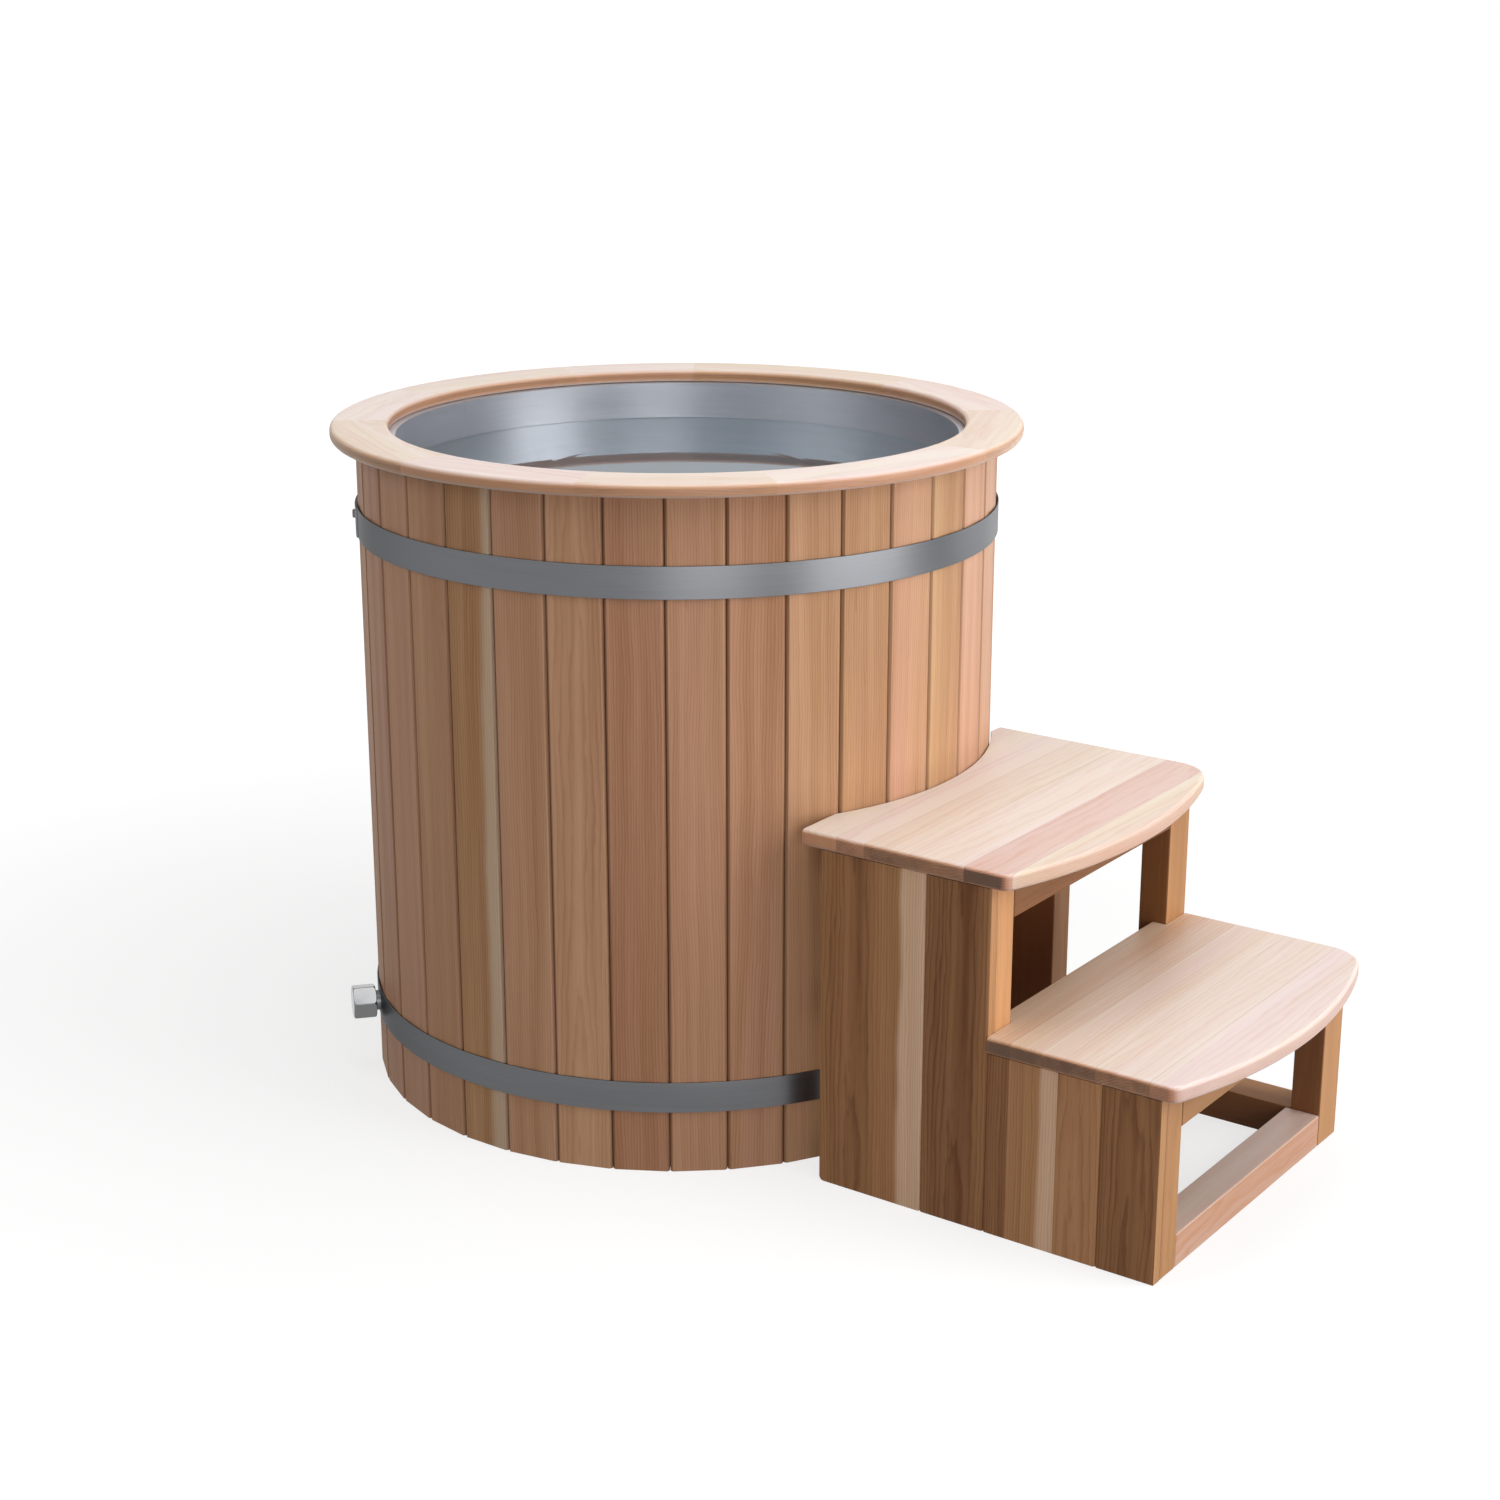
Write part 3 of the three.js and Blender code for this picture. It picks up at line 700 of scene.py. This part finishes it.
def hoop(name, node, bolt_node):
    low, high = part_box(node)
    band_inner, lap_outer = reach(node)
    bolt_low, bolt_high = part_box(bolt_node)
    lap_azimuth = math.degrees(math.atan2(bolt_low.y + bolt_high.y, bolt_low.x + bolt_high.x))
    band = add_section(f"{name}_band", band_inner, band_inner + BAND, low.z, high.z, 0.0006, 2)
    spin_round(180)
    close_piece()
    lap = add_section(f"{name}_lap", band_inner + BAND, lap_outer, low.z, high.z, 0.0006, 2)
    spin_part(lap, 24, LAP_LENGTH / lap_outer, lap_azimuth)
    made = joined(name, [band, lap])
    smooth(made, 40)
    lay_grain(made, lambda middle: RoundSheet(band_inner, math.degrees(math.atan2(middle.y, middle.x))))
    place(made, "tub", hoop_steel, "hoop_steel", node)
    print(name, "lap at", round(lap_azimuth, 1), "radius", round(band_inner, 4), "to", round(lap_outer, 4))
    return lap_azimuth, lap_outer, (low.z + high.z) / 2


upper_lap = hoop("upper_band", "upper_hoop", "upper_hoop_bolt")
lower_lap = hoop("lower_band", "lower_hoop", "lower_hoop_bolt")

# %% [markdown]
# A bolt holds each lap. Its head is a six-sided cylinder whose outer corners are rounded off by a turned blank,
# as on a real bolt, where the chamfer leaves an arc on each flat.

# %% Hexagon heads and bolts
HEX_CORNER = 1 / math.cos(math.pi / 6)


def hexagon(name, flats, x0, x1, height, chamfer, both=False):
    """A hexagon bar along +X with turned chamfers on its outer end, or on both."""
    corner = flats / 2 * HEX_CORNER
    bar = add_rod(name, corner, x0, x1, 6, height)
    blank = add_rod("blank", corner * 0.991, x0, x1, 96, height)
    open_piece(blank)
    pick("EDGE", lambda middle, way: abs(way.x) < 0.1 and (middle.x > x1 - 0.0001 or both))
    bpy.ops.mesh.bevel(affect="EDGES", offset=chamfer, segments=2, profile=0.5)
    close_piece()
    carve(bar, blank, "INTERSECT")
    ease(bar, 0.0004, 2, 25)
    return bar


def hoop_bolt(name, node, lap):
    lap_azimuth, lap_outer, height = lap
    low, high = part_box(node)
    head_out = reach(node)[1]
    flats = (high.z - low.z) / HEX_CORNER
    head = hexagon("head", flats, lap_outer + 0.0013, math.sqrt(head_out ** 2 - (flats / 4) ** 2), height, 0.0016)
    washer = add_rod("washer", flats * 0.62, lap_outer + 0.0002, lap_outer + 0.0012, 40, height)
    ease(washer, 0.0003)
    shank = add_rod("shank", 0.004, lap_outer - 0.022, lap_outer + 0.003, 24, height)
    bolt = joined(name, [head, washer, shank])
    turn(bolt, lap_azimuth)
    smooth(bolt, 30)
    place(bolt, "tub", bolt_steel, "bolt_steel", node)
    print(name, "head", round(flats * 1000, 1), "mm across flats")


hoop_bolt("upper_lap_bolt", "upper_hoop_bolt", upper_lap)
hoop_bolt("lower_lap_bolt", "lower_hoop_bolt", lower_lap)

# %% [markdown]
# ## Drain
# The drain is a flanged tail through the wall, tightened by a nut inside the liner and closed by a hexagon cap.
# All three are modelled pointing along +X and then turned to the drain's azimuth together. The flange and the
# tail are rods with eased edges; the thread that the cap hides is a row of narrow ribs.

# %% Drain sizes from the frame
drain_out = Vector((math.cos(math.radians(drain_azimuth)), math.sin(math.radians(drain_azimuth)), 0))
drain_axis = Vector((0, 0, drain_height))


def along_drain(node, beyond=0.0):
    """Start, end and radius of a node along the drain, for corners farther than this from its axis."""
    found = []
    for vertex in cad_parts[node].data.vertices:
        along = vertex.co.dot(drain_out)
        away = (vertex.co - drain_axis - drain_out * along).length
        if away > beyond:
            found.append((along, away))
    return min(f[0] for f in found), max(f[0] for f in found), max(f[1] for f in found)


BORE_RADIUS, THREAD = 0.012, 0.0008
tail_end, stub_end, flange_radius = along_drain("drain_fitting")
flange_seat, flange_face, _ = along_drain("drain_fitting", TAIL_RADIUS + 0.002)
nut_start, nut_seat, nut_corner = along_drain("drain_lock_nut")
cap_start, cap_end, cap_corner = along_drain("drain_cap")
print("flange", round(flange_seat, 4), "to", round(flange_face, 4), "cap", round(cap_start, 4), "to", round(cap_end, 4))

# %% Drain fitting
flange = add_rod("flange", flange_radius, flange_seat, flange_face, 72)
open_piece(flange)
pick("FACE", lambda middle, way: way.x > 0.9)
bpy.ops.mesh.inset(thickness=0.006)
bpy.ops.mesh.extrude_region_move(TRANSFORM_OT_translate={"value": (-0.0012, 0, 0)})
close_piece()
ease(flange, 0.0012, 3)
tail = add_rod("tail", TAIL_RADIUS - THREAD, tail_end, stub_end)
ribs = []
for i in range(14):
    at = flange_face + 0.001 + i * 2 * THREAD * 0.92
    rib = add_rod(f"rib_{i}", TAIL_RADIUS, at, at + THREAD)
    ease(rib, THREAD * 0.3, 1)
    ribs.append(rib)
fitting = joined("drain_body", [flange, tail, *ribs])
carve(fitting, add_rod("bore", BORE_RADIUS, tail_end - 0.01, stub_end + 0.01))
turn(fitting, drain_azimuth)
smooth(fitting, 30)
place(fitting, "tub", bolt_steel, "bolt_steel", "drain_fitting")
print("drain body", len(fitting.data.polygons), "faces")


# %% Lock nut and cap
def roll(piece, angle):
    """Rolls a piece about the drain's axis while it still lies along +X."""
    open_piece(piece)
    bpy.ops.mesh.select_all(action="SELECT")
    bpy.ops.transform.rotate(value=-math.radians(angle), orient_axis="X", center_override=drain_axis)
    close_piece()


nut = hexagon("lock_nut", 2 * nut_corner / HEX_CORNER, nut_start, nut_seat, drain_height, 0.0025, both=True)
carve(nut, add_rod("bore", TAIL_RADIUS + 0.0005, nut_start - 0.01, nut_seat + 0.01))
roll(nut, 30)
turn(nut, drain_azimuth)
smooth(nut, 30)
place(nut, "tub", bolt_steel, "bolt_steel", "drain_lock_nut")

CAP_WALL_END, CAP_CHAMFER, CAP_ROLL = 0.011, 0.004, 11.67
cap_flats = 0.050
cap = hexagon("cap", cap_flats, cap_start, cap_end, drain_height, CAP_CHAMFER, both=True)
carve(cap, add_rod("bore", TAIL_RADIUS + 0.0005, cap_start - 0.01, cap_end - CAP_WALL_END))
roll(cap, CAP_ROLL)
turn(cap, drain_azimuth)
smooth(cap, 30)
place(cap, "drain_cap", chrome, "chrome", "drain_cap")
print("cap", [round(v, 4) for v in cap.dimensions], "frame", [round(v, 4) for v in drain_high - drain_low])

# %% [markdown]
# ## Base
# Under the liner a panel of planks lies inside the staves, glued on three bearers. It starts as a thick disc,
# which is bisected into planks, and the bearers are blocks with eased edges.

# %% Base
base_low, base_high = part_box("base_panel")
BEARER_HEIGHT, BEARER_WIDTH, BEARER_PITCH, BEARER_INSET = 0.045, 0.070, 0.260, 0.012
PLANK = 0.115
alone()
bpy.ops.mesh.primitive_cylinder_add(
    vertices=144, radius=base_high.x, depth=base_high.z - BEARER_HEIGHT,
    location=(0, 0, (base_high.z + BEARER_HEIGHT) / 2),
)
disc = named("disc")
ease(disc, 0.002)
open_piece(disc)
for n in range(-3, 5):
    bpy.ops.mesh.select_all(action="SELECT")
    bpy.ops.mesh.bisect(plane_co=((n - 0.5) * PLANK, 0, 0), plane_no=(1, 0, 0))
close_piece()
planks = {n: Board(500 + n, (0, 1, 0), (1, 0, 0), (n * PLANK, 0, 0), half=PLANK / 2) for n in range(-4, 5)}
lay_grain(disc, lambda middle: planks[round(middle.x / PLANK)])
bearers = []
for row in (-1, 0, 1):
    side = abs(row) * BEARER_PITCH + BEARER_WIDTH / 2
    half = math.sqrt((base_high.x - BEARER_INSET) ** 2 - side ** 2)
    y = row * BEARER_PITCH
    low, high = (-half, y - BEARER_WIDTH / 2, 0), (half, y + BEARER_WIDTH / 2, BEARER_HEIGHT - 0.0002)
    bearer = add_block(f"bearer_{row + 2}", low, high)
    ease(bearer, 0.003)
    plank = Board(520 + row, (1, 0, 0), (0, 1, 0), (0, y, 0))
    lay_grain(bearer, lambda middle: plank)
    bearers.append(bearer)
base = joined("base", [disc, *bearers])
smooth(base, 35)
place(base, "tub", base_wood, "base_wood", "base_panel")
print("base of", len(planks), "planks on", len(bearers), "bearers")

# %% [markdown]
# ## Treads
# Both treads have the same curved front, which is struck about the tub's axis for the upper one. A section as
# deep as the tread is spun through an arc, and bisecting cuts trim the arc to straight sides and round its two
# front corners: nearly sharp on the boarded side, rounder on the open one. The upper tread's boarded end stops
# short, so a block cuts its tip off. Then the front and the sides are rounded over. The edges at the back stay
# square, because a wide bevel would tear at their inner corners. Glued strips run across the steps, so the tread
# is bisected at each joint and every strip gets a board of its own.

# %% Tread helpers
NEAR_CORNER, FAR_CORNER, CORNER_CUTS = 0.020, 0.066, 12
TREAD_ROUNDING = 0.006


def trim(piece, point, normal):
    """Cuts away what lies beyond a plane and closes the cut."""
    open_piece(piece)
    bpy.ops.mesh.select_all(action="SELECT")
    bpy.ops.mesh.bisect(plane_co=point, plane_no=normal, use_fill=True, clear_outer=True)
    close_piece()


def tread_blank(name, inner, outer, low, high, forward=0.0):
    """A ring sector with straight sides, rounded front corners and a straight cut at the back."""
    piece = add_section(name, inner, outer, low.z, high.z)
    spin_part(piece, 100, math.radians(100), 0)
    for side, corner in ((-1, NEAR_CORNER), (1, FAR_CORNER)):
        deep, half = outer - corner, high.y - corner
        middle = Vector((math.sqrt(deep ** 2 - half ** 2), side * half, low.z))
        last = math.asin(half / deep)
        for k in range(CORNER_CUTS):
            angle = QUARTER + (last - QUARTER) * k / CORNER_CUTS
            normal = Vector((math.cos(angle), side * math.sin(angle), 0))
            trim(piece, middle + normal * corner, normal)
    piece.location.x = forward
    alone(piece)
    bpy.ops.object.transform_apply(location=True, rotation=True, scale=True)
    trim(piece, (low.x, 0, 0), (-1, 0, 0))
    open_piece(piece)
    tidy_shell()
    bpy.ops.mesh.dissolve_limited(angle_limit=math.radians(0.5))
    close_piece()
    return piece


def round_over(piece, stays_square):
    """Rounds the edges round a tread's top and bottom, apart from those that a test keeps square."""
    open_piece(piece)
    pick("EDGE", lambda middle, way: abs(way.z) < 0.1 and not stays_square(middle))
    bpy.ops.mesh.bevel(affect="EDGES", offset=TREAD_ROUNDING, segments=4, profile=0.5)
    close_piece()
    ease(piece, 0.001, 2, 40)


def glue_strips(piece, joints, tones, hues, seed):
    """Bisects a tread at each glued joint and gives every strip its own board."""
    open_piece(piece)
    for x in joints[1:-1]:
        bpy.ops.mesh.select_all(action="SELECT")
        bpy.ops.mesh.bisect(plane_co=(x, 0, 0), plane_no=(1, 0, 0))
    close_piece()
    strips = []
    for n, (tone, hue) in enumerate(zip(tones, hues)):
        middle, half = (joints[n] + joints[n + 1]) / 2, (joints[n + 1] - joints[n]) / 2
        strip = Board(seed + n, (0, 1, 0), (1, 0, 0), (middle, 0, 0), tone=tone, half=half, hue=hue)
        strips.append((joints[n + 1], strip))
    # The strips' upright faces get a darker tone: painted shade under the top light.
    lay_grain(piece, lambda middle: next(board for end, board in strips if middle.x <= end), side_tone=0.4)
    smooth(piece, 40)


print("a tread's corners are rounded to", NEAR_CORNER, "and", FAR_CORNER)

# %% Upper tread
low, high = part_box("upper_tread")
hollow, front = reach("upper_tread")
tread = tread_blank("top_tread", hollow, front, low, high)
near_end = min(v.co.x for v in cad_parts["upper_tread"].data.vertices if v.co.y < low.y + 0.001)
carve(tread, add_block("near_cut", (low.x - 0.02, low.y - 0.02, low.z - 0.02), (near_end, -hollow / 4, high.z + 0.02)))
round_over(tread, lambda middle: middle.xy.length < hollow + 0.03)
UPPER_JOINTS = (0.38, 0.512, 0.559, 0.635, 0.724, 0.795, 0.87)
glue_strips(tread, UPPER_JOINTS, (0.0, 0.0, 0.15, 0.08, 0.40, 0.13), (0.4, 0.7, 0.45, 0.6, 0.85, 0.45), 610)
place(tread, "steps", tread_wood, "tread_wood", "upper_tread")
print("upper tread", [round(v, 4) for v in tread.dimensions], "frame", [round(v, 4) for v in high - low])

# %% [markdown]
# The lower tread is cut to the same curve, moved forward. It starts straight at the back, tucked between the two
# mid posts, so a notch is taken out of it at each post.

# %% Lower tread
low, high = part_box("lower_tread")
post_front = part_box("near_mid_post")[1].x
notch_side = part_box("upper_apron")[1].y
forward = high.x - front
tread = tread_blank("low_tread", low.x - forward - 0.05, front, low, high, forward)
for side in (-1, 1):
    ends = sorted((side * notch_side, side * (high.y + 0.02)))
    tool = add_block(
        "notch", (low.x - 0.02, ends[0], low.z - 0.02), (post_front + 0.0003, ends[1], high.z + 0.02)
    )
    carve(tread, tool)
round_over(tread, lambda middle: middle.x < post_front + 0.001)
LOWER_JOINTS = (0.73, 0.806, 0.856, 0.940, 1.023, 1.14)
glue_strips(tread, LOWER_JOINTS, (0.56, 0.38, 0.20, 0.08, 0.14), (0.1, 0.3, 0.4, 0.6, 0.7), 630)
place(tread, "steps", tread_wood, "tread_wood", "lower_tread")
print("lower tread", [round(v, 4) for v in tread.dimensions], "frame", [round(v, 4) for v in high - low])

# %% [markdown]
# ## Steps' frame
# The near side is closed by four upright boards, two tall and two short, with a V groove at each joint. The boards
# are themselves glued from strips, so their tones change inside a board too. Each starts as a block; its two
# front edges are bevelled where a groove is wanted, and all the others are eased. The edges that face forward are
# cut from the same pale wood as the posts behind them.

# %% Side boards
BOARD_CHAMFER = 0.0025
panel_low, panel_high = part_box("side_panel")
mid_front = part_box("near_mid_post")[1].x
short_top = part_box("near_front_post")[1].z
groove_tall, groove_short = mid_front - 0.107, panel_high.x - 0.092
BOARDS = (
    ("side_board_1", panel_low.x, groove_tall, panel_high.z, (0.585,), ((0.53, None), (0.36, 0.0005))),
    ("side_board_2", groove_tall, mid_front, panel_high.z, (), ((0.70, None),)),
    ("side_board_3", mid_front, groove_short, short_top, (0.803, 0.829, 0.881),
     ((0.68, None), (0.32, None), (0.22, 0.0005), (0.18, None))),
    ("side_board_4", groove_short, panel_high.x, short_top, (), ((0.64, None),)),
)
ARCHED_STRIPS = {"side_board_1": (0,), "side_board_2": (0,), "side_board_3": (3,), "side_board_4": (0,)}
FRONT_EDGES = ("side_board_2", "side_board_4")
for n, (name, x0, x1, top, joints, strips) in enumerate(BOARDS):
    gap = 0.0001
    board = add_block(name, (x0 + gap, panel_low.y, 0), (x1 - gap, panel_high.y, top))
    open_piece(board)
    grooves = [x for x in (x0, x1) if panel_low.x + 0.01 < x < panel_high.x - 0.01]
    pick("EDGE", lambda middle, way: abs(way.z) > 0.9 and middle.y < panel_low.y + 0.001
         and any(abs(middle.x - x) < 0.002 for x in grooves))
    bpy.ops.mesh.bevel(affect="EDGES", offset=BOARD_CHAMFER, segments=1)
    if n == 0:
        pick("EDGE", lambda middle, way: abs(way.y) > 0.9 and middle.x < panel_low.x + 0.001 and middle.z < 0.001)
        bpy.ops.mesh.bevel(affect="EDGES", offset=0.008, segments=4)
    close_piece()
    ease(board, 0.0012, 2, 25)
    open_piece(board)
    for x in joints:
        bpy.ops.mesh.select_all(action="SELECT")
        bpy.ops.mesh.bisect(plane_co=(x, 0, 0), plane_no=(1, 0, 0))
    close_piece()
    bounds = (x0, *joints, x1)
    cut = []
    for k, (tone, sap) in enumerate(strips):
        middle = ((bounds[k] + bounds[k + 1]) / 2, panel_low.y, 0)
        arched = k in ARCHED_STRIPS[name]
        hue = 0.6 if name == "side_board_3" and k else 0.25
        cut.append((bounds[k + 1], Board(700 + 10 * n + k, (0, 0, 1), (1, 0, 0), middle, tone, sap, arched, hue=hue)))
    if name in FRONT_EDGES:
        cut.insert(-1, (x1 - 0.0005, cut[-1][1]))
        cut[-1] = x1, Board(790 + n, (0, 0, 1), (0, 1, 0), (x1, panel_high.y, 0), tone=0.08, hue=0.2)
    lay_grain(board, lambda middle: next(strip for end, strip in cut if middle.x <= end + 0.0001))
    smooth(board, 30)
    place(board, "steps", board_wood, "board_wood", "side_panel")
    print(name, "from", round(x0, 3), "to", round(x1, 3), "in", len(cut), "strips")

# %% [markdown]
# The posts, aprons and rails are plain sawn bars with eased edges. Each is a block at its node's place, with the
# grain along its longest side and a tone of its own. The front bottom rail is cut from the treads' pale wood, with
# painted shade on its upright faces, and the far posts take the dark colour as painted shade on the side that
# faces the boards.

# %% Posts and rails
BARS = {
    "near_back_post": 0.6, "near_mid_post": 0.12, "near_front_post": 0.44, "far_back_post": 0.65, "far_mid_post": 0.45,
    "far_front_post": 0.36, "upper_apron": 0.95, "lower_apron": 0.50, "front_bottom_rail": 0.30,
    "far_bottom_rail": 0.40, "tread_ledger": 0.60,
}
PALE_BARS = ("front_bottom_rail",)
for n, (node, tone) in enumerate(BARS.items()):
    low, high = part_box(node)
    bar = add_block(f"bar_{node}", low, high)
    ease(bar, 0.0025, 3)
    smooth(bar, 30)
    size = high - low
    order = sorted(range(3), key=lambda axis: size[axis])
    along, across = [Vector([float(axis == k) for k in range(3)]) for axis in (order[2], order[1])]
    stick = Board(800 + n, along, across, (low + high) / 2, tone=tone, hue=0.7 if node in PALE_BARS else 0.2)
    # On the far posts the face towards the boards takes the dark colour: painted shade.
    painted_shade_board = Board(800 + n, along, across, (low + high) / 2, tone=1.0)
    lay_grain(bar, lambda middle: painted_shade_board if "far" in node and middle.y < low.y + 0.001 else stick,
              side_tone=0.62 if node in PALE_BARS else 0.0)
    place(bar, "steps", tread_wood if node in PALE_BARS else frame_wood, "frame_wood", node)
print(len(BARS), "bars")

# %% [markdown]
# ## Water
# The tub is filled to a hand's breadth below the rim. Still water is a clear volume with a refracting material. It
# starts as a cylinder whose foot is rounded like the liner's, and whose top is inset and lowered so that its edge
# creeps up the steel. Two faint rings are a slight ripple in the bump, and their paler tint is a painted highlight.
# The sides reach a little into the sheet, because a film of air between them would be a mirror. The water is
# there to be looked at only, so it stands for no node of the frame.

# %% Water
WATER_LEVEL, MENISCUS = 0.975, 0.0012
SOAK = SHEET / 4
water_foot = floor_height - SOAK
alone()
bpy.ops.mesh.primitive_cylinder_add(
    vertices=LINER_SIDES, radius=liner_inner + SOAK, depth=WATER_LEVEL + MENISCUS - water_foot,
    location=(0, 0, (WATER_LEVEL + MENISCUS + water_foot) / 2),
)
water = named("water")
open_piece(water)
pick("EDGE", lambda middle, way: middle.z < water_foot + 0.001)
bpy.ops.mesh.bevel(affect="EDGES", offset=LINER_CORNER, segments=6, profile=0.5)
pick("FACE", lambda middle, way: way.z > 0.9)
bpy.ops.mesh.inset(thickness=0.005)
bpy.ops.transform.translate(value=(0, 0, -MENISCUS))
close_piece()
smooth(water, 60)
f = Finish("water_finish", Transmission_Weight=1.0, IOR=1.33, Roughness=0.0, Specular_Tint=(0.72, 0.90, 1.0, 1))
place_in = f.node("ShaderNodeTexCoord", output="Object")
x, y, z = [f.node("ShaderNodeSeparateXYZ", sockets={0: place_in}, output=i) for i in range(3)]
swell = f.noise(x * 9, y * 9, z * 9, 1.0)
away = (x * x + y * y) ** 0.5
ripple = f.ramp(abs(away - 0.285), 0.014, 0.0) + f.ramp(abs(away - 0.20), 0.012, 0.0)
tint = f.mix(0.5 + swell, (0.46, 0.80, 0.91, 1), (0.51, 0.85, 0.96, 1))
# The paler tint on the two rings is a painted highlight.
tint = f.mix(ripple * 0.35, tint, (0.85, 0.96, 1.0, 1))
water.data.materials.clear()
water.data.materials.append(f.wear(tint, None, ripple + swell * 0.5, depth=0.0001, strength=1.0))
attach(water, "tub")
print("water level at", WATER_LEVEL)

# %% [markdown]
# ## Studio
# The photograph stands on white: a pale floor that runs into a white background, one large soft light on the
# steps' side and a softer one overhead. The floor is a plain wide plane. To the camera and to mirrors it is nearly
# white and keeps a faint shadow; to the light that bounces it is a dark grey, so that the wood isn't washed out.

# %% Floor and background
alone()
bpy.ops.mesh.primitive_plane_add(size=60)
floor = named("studio_floor")
f = Finish("floor_finish")
seen = f.node("ShaderNodeLightPath", output="Is Camera Ray")
mirrored = f.node("ShaderNodeLightPath", output="Is Glossy Ray")
through = f.node("ShaderNodeLightPath", output="Is Transmission Ray")
shown = f.node("ShaderNodeMath", {"operation": "MINIMUM"}, {0: seen + mirrored + through, 1: 1.0})
paint = f.mix(shown, (0.09, 0.09, 0.09, 1), (0.30, 0.30, 0.30, 1))
matt = f.node("ShaderNodeBsdfDiffuse", sockets={"Color": paint})
place_in = f.node("ShaderNodeTexCoord", output="Object")
far_off = f.node("ShaderNodeVectorMath", {"operation": "LENGTH"}, {0: place_in}, output="Value")
glow = f.node(
    "ShaderNodeEmission",
    sockets={"Color": (1, 1, 1, 1), "Strength": shown * (0.72 + f.ramp(far_off, 0.9, 3.4) * 0.28)},
)
both = f.node("ShaderNodeAddShader", sockets={0: matt, 1: glow})
f.tree.links.new(both.socket, f.tree.nodes["Material Output"].inputs["Surface"])
floor.data.materials.append(f.material)

world = bpy.data.worlds.new("studio_world")
bpy.context.scene.world = world
world.use_nodes = True
w = Finish.__new__(Finish)
w.tree = world.node_tree
seen = w.node("ShaderNodeLightPath", output="Is Camera Ray")
mirrored = w.node("ShaderNodeLightPath", output="Is Glossy Ray")
through = w.node("ShaderNodeLightPath", output="Is Transmission Ray")
shown = w.node("ShaderNodeMath", {"operation": "MINIMUM"}, {0: seen + mirrored + through, 1: 1.0})
level = 0.22 + shown * 0.78
background = w.tree.nodes["Background"]
background.inputs["Color"].default_value = (1, 1, 1, 1)
w.tree.links.new(level.socket, background.inputs["Strength"])
print("floor and background ready")

# %% Lights
def softbox(name, place_at, aim, width, height, power):
    alone()
    bpy.ops.object.light_add(type="AREA", location=place_at)
    lamp = bpy.context.active_object
    lamp.name = name
    lamp.rotation_euler = (Vector(aim) - Vector(place_at)).to_track_quat("-Z", "Y").to_euler()
    lamp.data.shape = "RECTANGLE"
    lamp.data.size, lamp.data.size_y = width, height
    lamp.data.energy = power
    return lamp


softbox("key_softbox", (3.8, 0.7, 2.5), (0.2, 0, 0.5), 2.4, 2.4, 79)
softbox("top_softbox", (0.9, 0.1, 4.2), (0.3, 0, 0), 3.6, 3.6, 104)
softbox("front_softbox", (3.6, -3.4, 1.0), (0.2, 0, 0.6), 2.4, 2.0, 58)
softbox("low_softbox", (4.1, 0.6, 0.35), (0, 0, 0.9), 3.0, 0.6, 36)
softbox("side_softbox", (-2.0, -3.3, 3.0), (0, 0, 0.5), 2.6, 2.2, 32)
softbox("back_softbox", (0.95, 3.3, 0.30), (0.3, 0.3, 0.6), 2.6, 0.5, 9)
bpy.context.scene.view_settings.view_transform = "Standard"
print("lights ready")
